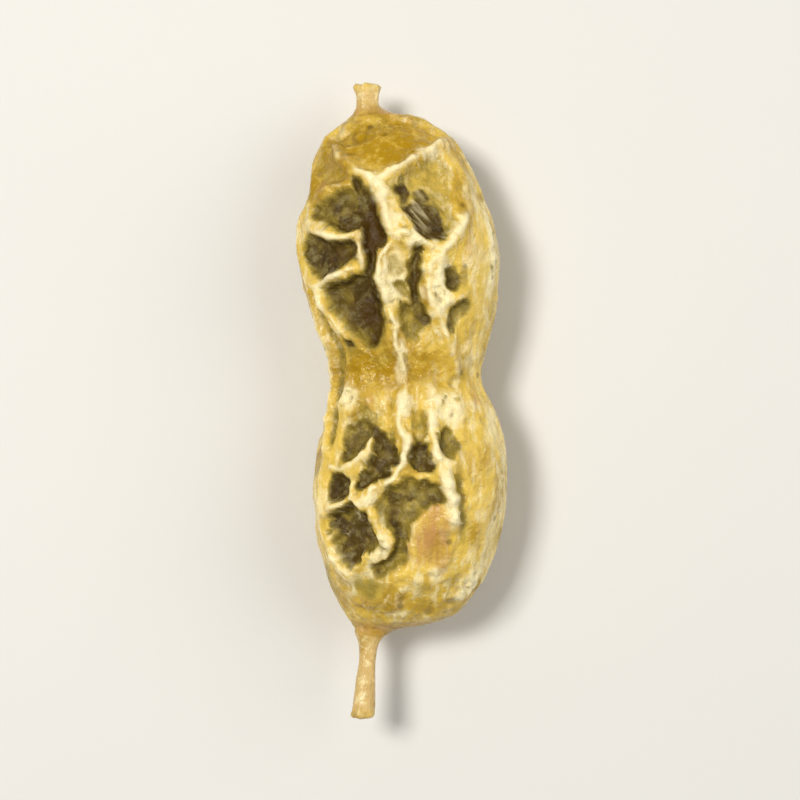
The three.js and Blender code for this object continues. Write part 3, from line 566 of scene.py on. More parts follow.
def drawn_numbers(seed):
    """A repeatable draw of numbers from 0 to 1."""
    state = seed
    while True:
        state = (state * 1664525 + 1013904223) % 2**32
        yield state / 2**32


def lumps_at(points, size, seed):
    """Smooth noise from about -1 to 1, in lumps of a size in millimetres."""
    places = points / size + SEED_SHIFT * seed
    return np.array([noise.noise(place) for place in places.tolist()])


def noise_at(points, layers):
    """A random field: the noise of all its layers."""
    return sum(strength * lumps_at(points, size, seed) for strength, size, seed in layers)


def folds_at(points, layers):
    """The same field in sharp-crested folds."""
    return sum(
        strength * (1 - FOLD_SHARPNESS * np.abs(lumps_at(points, size, seed)))
        for strength, size, seed in layers
    )


def shift_at(points, layers):
    """The same field as a move for each point."""
    axes = [[(strength, size, seed + k) for strength, size, seed in layers] for k in (1, 2, 3)]
    return np.stack([noise_at(points, axis_layers) for axis_layers in axes], axis=-1)


def within_reach(places, points, reach=1.5):
    """Which points are in or near the box round some places."""
    return np.all((points > places.min(axis=0) - reach) & (points < places.max(axis=0) + reach), axis=1)


def along_line(places, points):
    """How far points are from the line through places, and how many steps along it they are."""
    distance = np.full(len(points), FAR)
    step_number = np.zeros(len(points))
    for i, start in enumerate(places[:-1]):
        step = places[i + 1] - start
        share = np.clip((points - start) @ step / (step @ step), 0, 1)
        gap = np.linalg.norm(points - start - share[:, None] * step, axis=1)
        step_number = np.where(gap < distance, i + share, step_number)
        distance = np.minimum(gap, distance)
    return distance, step_number


class Line:
    """A smooth line on the upper face, with a half width and an amount at each of its points."""

    def __init__(self, half_width, *points):
        x, along, amount = spline(points, LINE_STEPS * len(points)).T
        self.half_width = half_width
        self.places = profile.on_crown(x, along)
        self.amount = np.maximum(amount, 0)
        steps = np.linalg.norm(np.diff(self.places, axis=0), axis=1)
        self.length = np.concatenate([[0], np.cumsum(steps)])

    def nearest(self, points):
        """How far the points are from the line, and its amount and length at its nearest place."""
        distance = np.full(len(points), FAR)
        amount, length = np.zeros((2, len(points)))
        near = within_reach(self.places, points)
        distance[near], step_number = along_line(self.places, points[near])
        amount[near] = np.interp(step_number, np.arange(len(self.amount)), self.amount)
        length[near] = np.interp(step_number, np.arange(len(self.length)), self.length)
        return distance, amount, length


class Cell:
    """A sunken cell of the upper face, in a smooth outline through its corners."""

    def __init__(self, depth, darkness, *corners):
        x, along = spline([*corners, corners[0]], CELL_STEPS * len(corners)).T
        self.depth, self.darkness = depth, darkness
        self.edge = profile.on_crown(x, along)

    def inside_by(self, points):
        """How far inside the outline the points are, with a minus outside it."""
        distance = np.full(len(points), -FAR)
        near = within_reach(self.edge, points)
        x, along = points[near, 0], points[near, 1]
        inside = np.zeros(len(x), bool)
        for (x1, y1, _), (x2, y2, _) in zip(self.edge[:-1], self.edge[1:]):
            crossed = (y1 > along) != (y2 > along)
            left = ((x - x1) * (y2 - y1) < (along - y1) * (x2 - x1)) == (y2 > y1)
            inside ^= crossed & left
        gap, _ = along_line(self.edge, points[near])
        distance[near] = np.where(inside, gap, -gap)
        return distance


class Spot:
    """A soft-edged round patch of the upper face with an amount of something."""

    def __init__(self, amount, x, along, across, length, lean):
        self.amount, self.across, self.length = amount, across, length
        self.middle = profile.on_crown(x, along)
        tilt = math.radians(lean)
        self.axis = np.array([math.sin(tilt), math.cos(tilt), 0])

    def at(self, points):
        """The amount, a half at the edge and soon nothing outside it."""
        offset = points - self.middle
        along = offset @ self.axis
        across = np.linalg.norm(offset - along[:, None] * self.axis, axis=1)
        reach = (along / self.length) ** 2 + (across / self.across) ** 2
        return self.amount / (1 + reach**2)


def strongest(rows, points):
    """The largest amount that any of the spots has at each point."""
    return np.max([Spot(*row).at(points) for row in rows], axis=0)


class Net:
    """The cells of the net on the left flank and the underside."""

    def __init__(self):
        draw = drawn_numbers(NET_SEED)
        least, most = NET_DEPTH_RANGE
        middles, depths = [], []
        for j in range(NET_CELLS_ALONG):
            for k in range(NET_CELLS_ROUND):
                along = BODY_LENGTH * (j + 0.5 + NET_JITTER * (next(draw) - 0.5)) / NET_CELLS_ALONG
                place = k + NET_STAGGER[j % 2]
                share = (place + NET_JITTER * (next(draw) - 0.5)) / NET_CELLS_ROUND
                angle = math.radians(NET_FIRST_ANGLE + (NET_LAST_ANGLE - NET_FIRST_ANGLE) * share)
                middles.append(profile.at_angle(along, angle))
                depths.append(NET_DEPTH * (least + (most - least) * next(draw)))
        self.middles, self.depths = np.array(middles), np.array(depths)

    def at(self, points):
        """The depth of each point's cell, and how far off the cell's nearest wall is."""
        distances = np.linalg.norm(points[:, None] - self.middles[None], axis=2)
        own = distances.argmin(axis=1)
        apart = np.linalg.norm(self.middles[own][:, None] - self.middles[None], axis=2)
        apart[np.arange(len(points)), own] = np.inf
        nearest = distances[np.arange(len(points)), own][:, None]
        walls = (distances**2 - nearest**2) / (2 * apart)
        walls[np.arange(len(points)), own] = np.inf
        return self.depths[own], walls.min(axis=1)

    @staticmethod
    def strength(points, normals):
        """How strongly the net shows: not on the ends, the seam, the crown or the two rest spots."""
        along = points[:, 1]
        from_waist = fade(np.abs(along - WAIST_AT), *NET_WAIST_REACH)
        waist = NET_WAIST_SHARE + (1 - NET_WAIST_SHARE) * from_waist
        sides = fade(normals[:, 0], *OFF_SEAM_FACE) * fade(normals[:, 2], *BELOW_FACE)
        gaps = [np.hypot(points[:, 0] - x, along - y) for x, y in REST_SPOTS]
        rest = fade(np.min(gaps, axis=0), 0.5 * REST_RADIUS, REST_RADIUS)
        return within(along, NET_SPAN) * waist * sides * np.where(normals[:, 2] < 0, rest, 1)


def seam_height(points):
    """The fine groove between two low lips on the +X side."""
    x, z, _, _ = profile.at(points[:, 1])
    offset = np.abs(points[:, 2] - z + noise_at(points, SEAM_WANDER))
    lips = SEAM_LIP_HEIGHT * bump(offset - SEAM_LIP_OFFSET, SEAM_HALF_WIDTH)
    groove = SEAM_DEPTH * bump(offset, SEAM_HALF_WIDTH)
    return np.where(points[:, 0] > x, (lips - groove) * within(points[:, 1], SEAM_SPAN), 0)


def streaks_at(points):
    """Fine crests that run down to the right."""
    x, y, z = points.T
    turned = np.stack([(x + y) / STREAK_WIDTH, (y - x) / STREAK_LENGTH, z / STREAK_WIDTH], axis=-1)
    return STREAK_HEIGHT * (1 - STREAK_SHARPNESS * np.abs(lumps_at(turned, 1, STREAK_SEED)))


def ridges_at(points, uneven, level):
    """The ridges' height, their side folds, how much of a crest there is for the cream with its painted
    highlight, and how far off it is.
    """
    height, crest, nearest_length, nearest_top = np.zeros((4, len(points)))
    to_crest = np.full(len(points), FAR)
    for number, row in enumerate(RIDGES):
        ridge = Line(*row)
        distance, top, length = ridge.nearest(points)
        width = ridge.half_width * uneven
        sharp = np.exp(-np.hypot(distance, CREST_ROUNDING) / (CREST_WIDTH * width))
        fold = FOOT_SHARE * bump(distance, FOOT_WIDTH * width) + CREST_SHARE * sharp
        height = np.maximum(height, top * fold)
        # the crest mask: pale skin, brightened as painted highlight
        crest = np.maximum(crest, fade(top, *CREAM_HEIGHTS) * bump(distance, CREAM_WIDTH * width))
        nearest_length = np.where(distance < to_crest, length + RIDGE_APART * number, nearest_length)
        nearest_top = np.where(distance < to_crest, top, nearest_top)
        to_crest = np.minimum(to_crest, distance + fade(top, *LOW_RIDGE))
    across = np.stack([nearest_length / SIDE_FOLD_SPACING, to_crest, points[:, 0] / 2], axis=-1)
    side_folds = folds_at(across, SIDE_FOLDS) * bump(to_crest - SIDE_FOLD_OFFSET, SIDE_FOLD_REACH)
    side_folds *= fade(nearest_top, *SIDE_FOLD_HEIGHTS) * level
    return height * uneven, side_folds, crest * uneven, to_crest


def cells_at(points, ragged):
    """How deep the cells and furrows are sunk, and how dark they are."""
    depth, dark = np.zeros((2, len(points)))
    for row in CELLS:
        cell = Cell(*row)
        inside = cell.inside_by(points) + ragged
        depth = np.maximum(depth, cell.depth * fade(inside, -CELL_EDGE, CELL_WALL))
        dark = np.maximum(dark, cell.darkness * fade(inside, -CELL_EDGE, CELL_SHADE))
    for half_width, darkness, *places in FURROWS:
        distance, bottom, _ = Line(half_width, *places).nearest(points)
        furrow_depth = bottom * bump(distance, half_width)
        depth = np.maximum(depth, furrow_depth)
        dark = np.maximum(dark, darkness * fade(furrow_depth, *FURROW_SHADE))
    return depth, dark


class Skin:
    """The wrinkled skin over points of the smooth pod: its height, and the masks that colour it."""

    def __init__(self, points, normals):
        self.points, self.normals, self.along = points, normals, points[:, 1]
        self.on_body = within(self.along, BODY_SPAN)
        self.upper = fade(normals[:, 2], *UPPER_FACE)
        fine_wander = self.by_lobe(FINE_WANDER_REACH)[:, None] * shift_at(points, FINE_WANDER)
        self.moved = points + shift_at(points, WANDER) + fine_wander
        fine_clouds = self.by_lobe(FINE_CLOUD_SHARE) * noise_at(points, FINE_CLOUDS)
        self.clouds = noise_at(points, CLOUDS) + fine_clouds
        self.papers = strongest(PATCHES["pale"], self.moved)
        self.torn = fade(self.along, *TORN_STUB) + fade(self.along, *TORN_STALK)
        self.form_upper_face()
        self.form_net()
        self.form_pocks()
        self.form_fine_folds()

    def by_lobe(self, values):
        """A value for the tip lobe that turns into one for the more shrivelled stalk lobe."""
        tip_lobe, stalk_lobe = values
        return tip_lobe + (stalk_lobe - tip_lobe) * fade(self.along, *SHRIVELLED)

    def form_upper_face(self):
        """The drawn ridges, and the cells and furrows that sink between them."""
        level = fade(self.normals[:, 2], *LEVEL_FACE)
        uneven = 1 + level * noise_at(self.points, UNEVENNESS)
        ragged = noise_at(self.points, RAGGEDNESS)
        ragged += self.by_lobe(FINE_RAGGED_REACH) * noise_at(self.points, FINE_RAGGEDNESS)
        height, self.side_folds, crest, to_crest = ridges_at(self.moved, uneven, level)
        depth, dark = cells_at(self.moved, ragged)
        self.ridge_height = height * self.upper
        self.crest = crest * self.upper
        self.sunken = depth * fade(to_crest, *FLOOR_FROM_CREST) * self.upper
        self.dark = dark * fade(to_crest, *SHADE_FROM_CREST) * self.upper * (1 + self.clouds)

    def form_net(self):
        """The net on the left flank and the underside, with its crests and its dark cells."""
        depth, wall = Net().at(self.moved + shift_at(self.points, NET_WANDER))
        strength = Net.strength(self.points, self.normals)
        uneven = 1 + noise_at(self.points, NET_UNEVENNESS)
        ridge = NET_RIDGE_HEIGHT * uneven * bump(wall, NET_RIDGE_HALF_WIDTH * uneven)
        self.net_height = (ridge - depth * fade(wall, 0, NET_FLOOR_EDGE)) * strength
        # the net's crest lines take the same cream: pale skin brightened as painted highlight
        line = uneven * bump(wall, CREST_WIDTH * NET_RIDGE_HALF_WIDTH * uneven)
        self.crest = np.maximum(self.crest, CREST_SHARE * line * strength)
        shade = NET_SHADE * (depth / NET_DEPTH - NET_LIGHT_SHARE) * fade(wall, *NET_SHADE_EDGE)
        self.dark = np.maximum(self.dark, shade * strength * (1 + self.clouds))

    def form_pocks(self):
        """Small dark pocks in the papery patches."""
        pocked = fade(noise_at(self.points, POCKS), *POCKED) * fade(self.papers, *POCKED_PAPER)
        self.dark = np.maximum(self.dark, POCK_SHADE * pocked * self.upper)

    def form_fine_folds(self):
        """Veins, whose tops the material paints with highlight and whose creases it paints with shade, and
        with them all the rest of the fine relief.
        """
        points, along, light = self.points, self.along, 1 - self.dark
        pleats = folds_at(points * ALONG_PLEATS, PLEATS)
        pleated = bump(along - WAIST_AT, WAIST_PLEAT_REACH)
        pleated += END_PLEAT_SHARE * (fade(along, *TIP_PLEATS) + fade(along, *STALK_END_PLEATS))
        crumpled = self.papers + STALK_END_CRUMPLE_SHARE * fade(along, *STALK_END_CRUMPLES)
        streaked = Spot(*STREAKED).at(points)
        shrivel_folds = folds_at(points, SHRIVEL_FOLDS) * noise_at(points, SHRIVEL_BREAKS)
        self.veins = (
            streaks_at(points) * streaked
            + folds_at(points, PAPERY_FOLDS) * noise_at(points, PAPERY_BREAKS) * light
            + ROSY_PLEAT_HEIGHT * pleats * strongest(PATCHES["rosy"], self.moved)
            + folds_at(points, CRUMPLES) * crumpled * light
            + shrivel_folds * self.dark * self.by_lobe(SHRIVEL_FOLD_SHARE)
            + self.side_folds
        )
        cell_folds = folds_at(points, CELL_FOLDS) * self.dark * (1 - streaked)
        self.fine_folds = (
            self.veins
            + cell_folds * self.by_lobe(CELL_FOLD_SHARE)
            + PLEAT_HEIGHT * pleats * np.clip(pleated, 0, 1)
            + noise_at(points, GRAIN)
        )

    def stalk_height(self):
        """Fibres along the stalk and the stub, torn at their ends, and the collar."""
        fibres = folds_at(self.points * ALONG_FIBRES, FIBRES) + noise_at(self.points, FIBRE_LUMPS)
        collar = COLLAR_HEIGHT * bump(self.along - COLLAR_AT, COLLAR_HALF_WIDTH)
        return (FIBRE_HEIGHT + TORN_HEIGHT * self.torn) * fibres + collar

    def height(self, sizes):
        """How far the skin stands off the smooth pod."""
        body = sizes.ridge_height * (self.ridge_height + self.net_height)
        body += strongest(SWELLINGS, self.moved) + seam_height(self.points)
        body += sizes.wrinkles * self.fine_folds - sizes.pit_depth * self.sunken
        body += noise_at(self.points, LUMPS)
        return body * self.on_body + self.stalk_height() * (1 - self.on_body)

    def masks(self):
        """How much of each colour there is."""
        drifted = self.points + shift_at(self.points, PATCH_WANDER)
        shown = self.upper * self.on_body
        masks = {name: strongest(rows, drifted) * shown for name, rows in PATCHES.items()}
        roots = np.max([bump(self.along - place, ROOT_REACH) for place in ROOTS_AT], axis=0)
        masks["amber"] = np.maximum(masks["amber"], roots)
        masks["rosy"] = np.maximum(masks["rosy"], ROOT_ROSY_SHARE * roots)
        # the skin facing +X: pale seam skin, made paler still as painted rim light
        seam_side = fade(self.normals[:, 0], *SEAM_SIDE_FACE) * within(self.along, SEAM_SIDE_SPAN)
        seam_pale_and_rim_light = seam_side * (SEAM_PALE_AND_LIT_SHARE + noise_at(drifted, SEAM_PALENESS_AND_RIM_LIGHT))
        masks["pale"] = np.maximum(masks["pale"], seam_pale_and_rim_light * self.on_body)
        beside = fade(self.normals[:, 2], *BESIDE_FACE) * self.on_body
        for name, (strength, seed) in BLOTCHES.items():
            blotch = strength * fade(lumps_at(drifted, BLOTCH_SIZE, seed), *BLOTCH_EDGE) * beside
            masks[name] = np.maximum(masks[name], blotch)
            if name != "pale":
                masks["pale"] *= 1 - BLOTCH_OVER_PALE * blotch
        # proud is the fine relief: the material paints highlight on its tops and shade in its creases; crest
        # carries the crests' painted highlight
        masks["crest"] = self.crest * self.on_body
        masks["dark"] = self.dark * self.on_body
        masks["proud"] = self.veins * self.on_body
        bare = (1 - ROOT_COVER * roots) * (1 - TORN_COVER * np.clip(self.torn, 0, 1))
        masks["stalk"] = (1 - self.on_body) * bare
        return masks


def read_vectors(mesh, name):
    """Every point's place or normal, by the name of Blender's own attribute."""
    numbers = np.zeros(len(mesh.vertices) * 3)
    mesh.vertices.foreach_get(name, numbers)
    return numbers.reshape(-1, 3)


def write_points(mesh, points):
    mesh.vertices.foreach_set("co", (points * MM).ravel())
    mesh.update()


def write_mask(mesh, name, values):
    attribute = mesh.attributes.new(name, "FLOAT", "POINT")
    attribute.data.foreach_set("value", values.astype(np.float32))


def select_faces(mesh_object, wanted):
    """Selects, in edit mode, the faces that a test picks, and nothing else."""
    bpy.ops.mesh.select_all(action="DESELECT")
    bpy.ops.object.mode_set(mode="OBJECT")
    for face in mesh_object.data.polygons:
        face.select = wanted(face)
    bpy.ops.object.mode_set(mode="EDIT")
    bpy.ops.mesh.select_mode(type="FACE")


def pod_cage():
    """Extrudes a disc from the stalk's cut, ring by ring, to the tip of the style stub."""
    bpy.ops.object.select_all(action="DESELECT")
    bpy.ops.mesh.primitive_circle_add(
        vertices=CAGE_COLUMNS, radius=MM, fill_type="NGON", rotation=(math.pi / 2, 0, 0)
    )
    cage = bpy.context.object
    cage.name = cage.data.name = "pod_skin"
    bpy.ops.object.transform_apply(location=False, rotation=True, scale=False)
    bpy.ops.object.mode_set(mode="EDIT")
    bpy.ops.mesh.select_all(action="SELECT")
    before, sizes_before = Vector((0, 0, 0)), (1, 1)
    for number, along in enumerate(profile.rings(CAGE_RINGS)):
        x, z, half_width, half_height = profile.at(along)
        middle = Vector((x, along, z)) * MM
        step = middle - before
        if number == 0:
            bpy.ops.transform.translate(value=step)
        else:
            bpy.ops.mesh.extrude_region_move(TRANSFORM_OT_translate={"value": step})
        ratio = (half_width / sizes_before[0], 1, half_height / sizes_before[1])
        bpy.ops.transform.resize(value=ratio, center_override=middle)
        before, sizes_before = middle, (half_width, half_height)
    bpy.ops.mesh.select_all(action="SELECT")
    bpy.ops.mesh.normals_make_consistent(inside=False)
    for end in (-1, 1):
        select_faces(cage, lambda face: len(face.vertices) > 4 and face.normal.y * end > 0.5)
        bpy.ops.mesh.inset(thickness=CAP_INSET * MM)
        bpy.ops.mesh.poke()
    bpy.ops.object.mode_set(mode="OBJECT")
    return cage


def subdivide(piece, levels):
    modifier = piece.modifiers.new("Subdivision", "SUBSURF")
    modifier.levels = modifier.render_levels = levels
    bpy.ops.object.modifier_apply(modifier=modifier.name)


def sculpt_pod(pod, sizes):
    """Moves the pod's points on to its true sections, and wrinkles the skin."""
    mesh = pod.data
    smooth = profile.on_skin(read_vectors(mesh, "co") / MM)
    write_points(mesh, smooth)
    normals = read_vectors(mesh, "normal")
    skin = Skin(smooth, normals)
    wrinkled = smooth + normals * skin.height(sizes)[:, None]
    wrinkled[:, 2] = np.maximum(wrinkled[:, 2], REST_PLANE)
    write_points(mesh, wrinkled + FRAME_OFFSET)
    for name, values in skin.masks().items():
        write_mask(mesh, name, values)


def add_node(tree, kind, inputs, **settings):
    """Adds a node, sets it up, and fills its inputs with values or with links."""
    node = tree.nodes.new(kind)
    for name, value in settings.items():
        setattr(node, name, value)
    for name, value in inputs.items():
        if isinstance(value, bpy.types.NodeSocket):
            tree.links.new(value, node.inputs[name])
        else:
            node.inputs[name].default_value = value
    return node


def math_node(tree, operation, *values):
    return add_node(tree, "ShaderNodeMath", dict(enumerate(values)), operation=operation).outputs[0]


def times(tree, first, second):
    return math_node(tree, "MULTIPLY", first, second)


def mixed(tree, factor, first, second):
    """Mixes two colours."""
    inputs = {0: factor, 6: first, 7: second}
    return add_node(tree, "ShaderNodeMix", inputs, data_type="RGBA").outputs[2]


def ramped(tree, value, low, high, bottom=0.0, top=1.0):
    """A value from low to high, as bottom to top with soft ends."""
    inputs = {"Value": value, "From Min": low, "From Max": high, "To Min": bottom, "To Max": top}
    return add_node(tree, "ShaderNodeMapRange", inputs, interpolation_type="SMOOTHSTEP").outputs[0]


def noise_node(tree, vector, scale, detail=3.0, roughness=0.55):
    inputs = {"Vector": vector, "Scale": scale, "Detail": detail, "Roughness": roughness}
    return add_node(tree, "ShaderNodeTexNoise", inputs).outputs["Fac"]


def mask_node(tree, name):
    return add_node(tree, "ShaderNodeAttribute", {}, attribute_name=name).outputs["Fac"]


def new_group(name, output, kind, **inputs):
    """A shader node group with one output, and inputs that are a kind of socket or a number."""
    tree = bpy.data.node_groups.new(name, "ShaderNodeTree")
    tree.interface.new_socket(output, in_out="OUTPUT", socket_type=f"NodeSocket{kind}")
    for input_name, value in inputs.items():
        input_kind = value if isinstance(value, str) else "Float"
        socket = tree.interface.new_socket(input_name, in_out="INPUT", socket_type=f"NodeSocket{input_kind}")
        if input_kind == "Float":
            socket.default_value = value
    start = tree.nodes.new("NodeGroupInput")
    end = tree.nodes.new("NodeGroupOutput")
    return tree, start.outputs, end.inputs[output]


def mottle_group():
    """Cloudy patches of two tints over a colour, in two sizes."""
    tree, given, made = new_group(
        "Mottle", "Colour", "Color",
        Vector="Vector", Colour="Color", Deep="Color", Light="Color", Scale=1000.0, Amount=0.5,
    )
    broad = noise_node(tree, given["Vector"], given["Scale"], 4)
    close = noise_node(tree, given["Vector"], times(tree, given["Scale"], 2.7), 5, 0.65)
    deep = times(tree, ramped(tree, broad, 0.5, 0.7), given["Amount"])
    light = times(tree, ramped(tree, close, 0.48, 0.64), given["Amount"])
    colour = mixed(tree, deep, given["Colour"], given["Deep"])
    tree.links.new(mixed(tree, light, colour, given["Light"]), made)
    return tree


def specks_group():
    """Small round specks, on a share of the cells of a random pattern."""
    tree, given, made = new_group("Specks", "Mask", "Float", Vector="Vector", Scale=1200.0, Share=0.2)
    pattern = {"Vector": given["Vector"], "Scale": given["Scale"]}
    cells = add_node(tree, "ShaderNodeTexVoronoi", pattern)
    drawn = add_node(tree, "ShaderNodeSeparateColor", {0: cells.outputs["Color"]}).outputs[0]
    chosen = math_node(tree, "LESS_THAN", drawn, given["Share"])
    near = ramped(tree, cells.outputs["Distance"], 0.3, 0.12)
    tree.links.new(times(tree, near, chosen), made)
    return tree


def grain_group():
    """The fine relief of dry skin: fine wrinkles and pores, as a height from 0 to 1."""
    tree, given, made = new_group("Grain", "Height", "Float", Vector="Vector", Scale=1500.0)
    wrinkles = noise_node(tree, given["Vector"], given["Scale"], 3, 0.5)
    off_middle = math_node(tree, "ABSOLUTE", math_node(tree, "SUBTRACT", wrinkles, 0.5))
    folded = times(tree, ramped(tree, off_middle, 0.16, 0), 0.5)
    pores = noise_node(tree, given["Vector"], times(tree, given["Scale"], 2.6), 4, 0.6)
    tree.links.new(math_node(tree, "ADD", times(tree, pores, 0.5), folded), made)
    return tree


def placed(tree, group, **inputs):
    """A node group in a material, with its inputs filled."""
    return add_node(tree, "ShaderNodeGroup", inputs, node_tree=group).outputs[0]


def new_material(name):
    material = bpy.data.materials.new(name)
    material.use_nodes = True
    tree = material.node_tree
    place = add_node(tree, "ShaderNodeTexCoord", {}).outputs["Object"]
    return material, tree, tree.nodes["Principled BSDF"], place


def skin_material(colours, groups):
    """The dried skin: amber and tan, dark in the cells, and cream on the crests, which is pale skin with
    painted highlight; painted shade darkens the fine creases.
    """
    mottle, specks, grain = groups
    tints = {name: (*getattr(colours, name), 1) for name in colours.__annotations__}
    material, tree, shader, place = new_material("pod dried skin")
    masks = {name: mask_node(tree, name) for name in (*PATCHES, "crest", "dark", "stalk", "proud")}
    squeeze = {0: place, 1: (1.0, 0.35, 1.0)}
    stretched = add_node(tree, "ShaderNodeVectorMath", squeeze, operation="MULTIPLY").outputs[0]

    def uneven(vector, scale, detail=3.0, roughness=0.55):
        """Noise about 0."""
        return math_node(tree, "SUBTRACT", noise_node(tree, vector, scale, detail, roughness), 0.5)

    ragged = uneven(place, 1300.0, 5, 0.6)
    streaky = uneven(stretched, 2600.0, 4, 0.6)

    def patch(name, low, high, share, unevenness=ragged):
        """A mask with a ragged edge: 0 up to low and 1 from high."""
        torn = math_node(tree, "ADD", masks[name], times(tree, unevenness, share))
        return ramped(tree, torn, low, high)

    def mottled(colour, deep, light, scale, amount, vector=place):
        """One tint with clouds of a deep and a light one."""
        return placed(
            tree, mottle, Vector=vector, Colour=tints[colour], Deep=tints[deep], Light=tints[light],
            Scale=scale, Amount=amount,
        )

    # the smooth skin
    colour = mottled("tan", "amber", "pale", 700.0, 0.75, stretched)
    colour = mixed(tree, patch("amber", 0.0, 0.9, 0.8), colour, mottled("amber", "olive", "tan", 800.0, 0.5))
    colour = mixed(tree, patch("olive", 0.0, 1.3, 1.0), colour, tints["olive"])
    colour = mixed(tree, patch("rosy", 0.1, 1.2, 1.6, streaky), colour, tints["rosy"])
    colour = mixed(tree, patch("pale", 0.2, 1.0, 1.1, streaky), colour, tints["pale"])

    # the cells' walls and floors
    floors = mottled("brown", "umber", "slate", 750.0, 0.75)
    floors = mixed(tree, patch("amber", 0.1, 0.9, 0.6), floors, tints["chestnut"])
    colour = mixed(tree, patch("dark", 0.0, 0.5, 0.4), colour, mottled("olive", "brown", "tan", 1100.0, 0.3))
    colour = mixed(tree, patch("dark", 0.35, 0.95, 0.6), colour, floors)

    # painted shade in the fine creases, and cream with painted highlight on the crests and the fold tops
    painted_crease_shade = times(tree, ramped(tree, masks["proud"], 0.0, -0.06), 0.4)
    colour = mixed(tree, painted_crease_shade, colour, tints["umber"])
    painted_fold_highlight = times(tree, ramped(tree, masks["proud"], 0.045, 0.12), 0.8)
    light = math_node(tree, "MAXIMUM", patch("crest", 0.1, 1.0, 1.0), painted_fold_highlight)
    in_cell = ramped(tree, masks["dark"], 0.1, 0.7, 0.85, 0.5)
    colour = mixed(tree, times(tree, light, in_cell), colour, tints["cream"])

    # specks, and the stalk and the stub
    speck = placed(tree, specks, Vector=place, Scale=1300.0, Share=0.1)
    colour = mixed(tree, times(tree, speck, 0.5), colour, tints["umber"])
    colour = mixed(tree, masks["stalk"], colour, mottled("stalk", "amber", "pale", 900.0, 0.6))
    tree.links.new(colour, shader.inputs["Base Color"])

    rough = ramped(tree, masks["dark"], 0.2, 0.8, 0.27, 0.55)
    rough = math_node(tree, "ADD", rough, times(tree, uneven(place, 2500.0), 0.2))
    tree.links.new(rough, shader.inputs["Roughness"])
    height = placed(tree, grain, Vector=place, Scale=1500.0)
    bumped = add_node(tree, "ShaderNodeBump", {"Height": height, "Distance": 0.00008, "Strength": 0.8})
    tree.links.new(bumped.outputs["Normal"], shader.inputs["Normal"])
    shader.inputs["Subsurface Weight"].default_value = 0.12
    shader.inputs["Subsurface Radius"].default_value = (1.0, 0.6, 0.25)
    shader.inputs["Subsurface Scale"].default_value = 0.0006
    shader.inputs["Specular IOR Level"].default_value = 0.28
    return material


def floor_material(colour):
    """A plain pale finish with a hardly visible cloud in it."""
    material, tree, shader, place = new_material("pale floor")
    shade = [0.97 * value for value in colour]
    tint = mixed(tree, noise_node(tree, place, 40.0), (*colour, 1), (*shade, 1))
    tree.links.new(tint, shader.inputs["Base Color"])
    shader.inputs["Roughness"].default_value = 0.85
    return material


def tint_property(name, description, *display_colour):
    return FloatVectorProperty(
        name=name, description=description, subtype="COLOR", min=0, max=1, default=linear(*display_colour)
    )


def share_property(name, description, most):
    return FloatProperty(name=name, description=description, default=1.0, min=0, max=most, subtype="FACTOR")


class PodSizes(bpy.types.PropertyGroup):
    ridge_height: share_property("Ridge height", "How high the ridges stand, of the real pod's", 2)
    pit_depth: share_property("Cell depth", "How deep the cells sink, of the real pod's", 2)
    wrinkles: share_property("Fine folds", "How high the fine folds stand, of the real pod's", 3)


class PodColours(bpy.types.PropertyGroup):
    # Cream: the crests' pale skin, made whiter as painted highlight; it also paints the highlight on the
    # fine folds' tops
    cream: tint_property("Cream", "The crests of the ridges", 252, 238, 190)
    tan: tint_property("Tan", "The smooth side with the seam", 228, 194, 86)
    amber: tint_property("Amber", "The smooth ends and the waist", 172, 133, 12)
    olive: tint_property("Olive", "Clouds in the amber and the cells", 150, 130, 52)
    brown: tint_property("Brown", "The floors of the cells", 84, 64, 12)
    # Umber paints shade into the fine creases, and also colours the specks and the deep clouds of the cell
    # floors
    umber: tint_property("Umber", "The creases", 46, 30, 4)
    # Chestnut is the warm dark floor under the amber patches; in the furrow left of the spine it is painted
    # shadow of the spine
    chestnut: tint_property("Chestnut", "The warm floors of the furrows", 76, 52, 2)
    slate: tint_property("Slate", "Grey clouds on the floors of the cells", 132, 118, 68)
    # Pale also paints the rim highlight on the +X side and on the tip's outline
    pale: tint_property("Pale", "The papery patches", 247, 230, 174)
    rosy: tint_property("Rosy", "The reddish patches", 194, 144, 84)
    stalk: tint_property("Stalk", "The stalk and the style stub", 210, 178, 112)


class StageSettings(bpy.types.PropertyGroup):
    floor_size: FloatProperty(
        name="Floor size", description="The floor's width", default=4.0, min=0.1, unit="LENGTH"
    )
    floor_colour: tint_property("Floor colour", "The plain pale floor", 228, 226, 220)
    lens: FloatProperty(
        name="Lens", description="The camera's focal length in millimetres", default=100.0, min=20,
        unit="CAMERA",
    )
    frame_height: FloatProperty(
        name="Frame height", description="The height of the view at the pod", default=0.0395, min=0.01,
        unit="LENGTH",
    )


class POD_OT_skin(bpy.types.Operator):
    """Model the pod in one piece, from the stalk's cut to the style stub, with its wrinkled skin"""

    bl_idname = "pod.skin"
    bl_label = "Pod"

    def execute(self, context):
        pod = pod_cage()
        subdivide(pod, CAGE_LEVELS)
        sculpt_pod(pod, context.scene.pod_sizes)
        bpy.ops.object.shade_smooth()
        groups = mottle_group(), specks_group(), grain_group()
        pod.data.materials.append(skin_material(context.scene.pod_colours, groups))
        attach(pod, "root")
        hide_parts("pod")
        return {"FINISHED"}


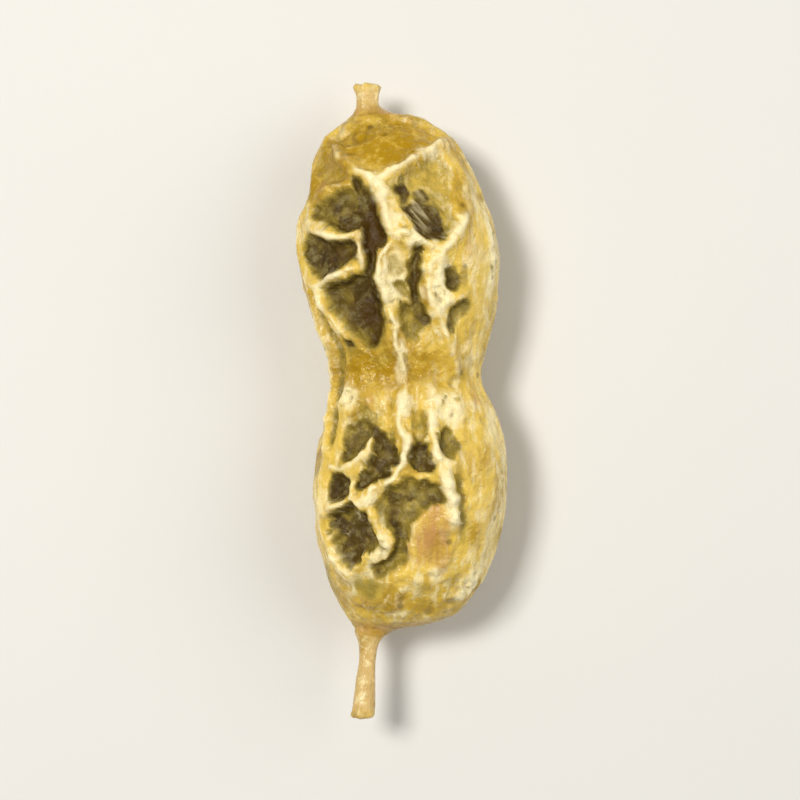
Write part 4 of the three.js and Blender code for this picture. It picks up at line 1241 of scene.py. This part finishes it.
class POD_OT_stage(bpy.types.Operator):
    """Lay the pale floor and set up the soft studio light and the camera"""

    bl_idname = "pod.stage"
    bl_label = "Stage"

    def execute(self, context):
        settings = context.scene.pod_stage
        bpy.ops.object.select_all(action="DESELECT")
        bpy.ops.mesh.primitive_plane_add(size=settings.floor_size)
        floor = context.object
        floor.name = "floor"
        floor.data.materials.append(floor_material(settings.floor_colour))
        self.add_lights(context)
        self.add_camera(context, settings)
        return {"FINISHED"}

    def add_lights(self, context):
        """Two soft lamps that face the pod, in a pale surrounding."""
        for name, (place, size, power, colour) in LIGHTS.items():
            turn = (Vector((0, 0, AIM_HEIGHT)) - Vector(place)).to_track_quat("-Z", "Y").to_euler()
            bpy.ops.object.light_add(type="AREA", location=place, rotation=turn)
            light = context.object
            light.name = name
            light.data.size = size
            light.data.energy = power
            light.data.color = colour
        world = bpy.data.worlds.new("studio")
        world.use_nodes = True
        background = world.node_tree.nodes["Background"]
        background.inputs["Color"].default_value = WORLD_COLOUR
        background.inputs["Strength"].default_value = WORLD_STRENGTH
        context.scene.world = world
        context.scene.view_settings.view_transform = "Standard"

    def add_camera(self, context, settings):
        """A camera straight above the pod, as far off as its lens needs."""
        distance = settings.frame_height / SENSOR_WIDTH * settings.lens
        bpy.ops.object.camera_add(location=(0, 0, AIM_HEIGHT + distance), rotation=(0, 0, 0))
        camera = context.object
        camera.name = "camera"
        camera.data.lens = settings.lens
        camera.data.sensor_width = SENSOR_WIDTH
        camera.data.clip_start = 0.001
        context.scene.camera = camera


class VIEW3D_PT_pod(bpy.types.Panel):
    """Lists the pod's settings and the operators that make its pieces"""

    bl_idname = "VIEW3D_PT_pod"
    bl_label = "Pagoda Tree Pod"
    bl_space_type = "VIEW_3D"
    bl_region_type = "UI"
    bl_category = "Pod"

    def draw(self, context):
        scene = context.scene
        for title, settings, operator in (
            ("Shape", scene.pod_sizes, None),
            ("Colours", scene.pod_colours, POD_OT_skin.bl_idname),
            ("Stage", scene.pod_stage, POD_OT_stage.bl_idname),
        ):
            box = self.layout.box()
            box.label(text=title)
            for name in settings.__annotations__:
                box.prop(settings, name)
            if operator:
                box.operator(operator)


CLASSES = (PodSizes, PodColours, StageSettings, POD_OT_skin, POD_OT_stage, VIEW3D_PT_pod)


def register():
    for cls in CLASSES:
        bpy.utils.register_class(cls)
    bpy.types.Scene.pod_sizes = PointerProperty(type=PodSizes)
    bpy.types.Scene.pod_colours = PointerProperty(type=PodColours)
    bpy.types.Scene.pod_stage = PointerProperty(type=StageSettings)


def unregister():
    del bpy.types.Scene.pod_stage
    del bpy.types.Scene.pod_colours
    del bpy.types.Scene.pod_sizes
    for cls in reversed(CLASSES):
        bpy.utils.unregister_class(cls)


def main():
    register()
    bpy.ops.pod.skin()
    bpy.ops.pod.stage()


if __name__ == "__main__":
    main()
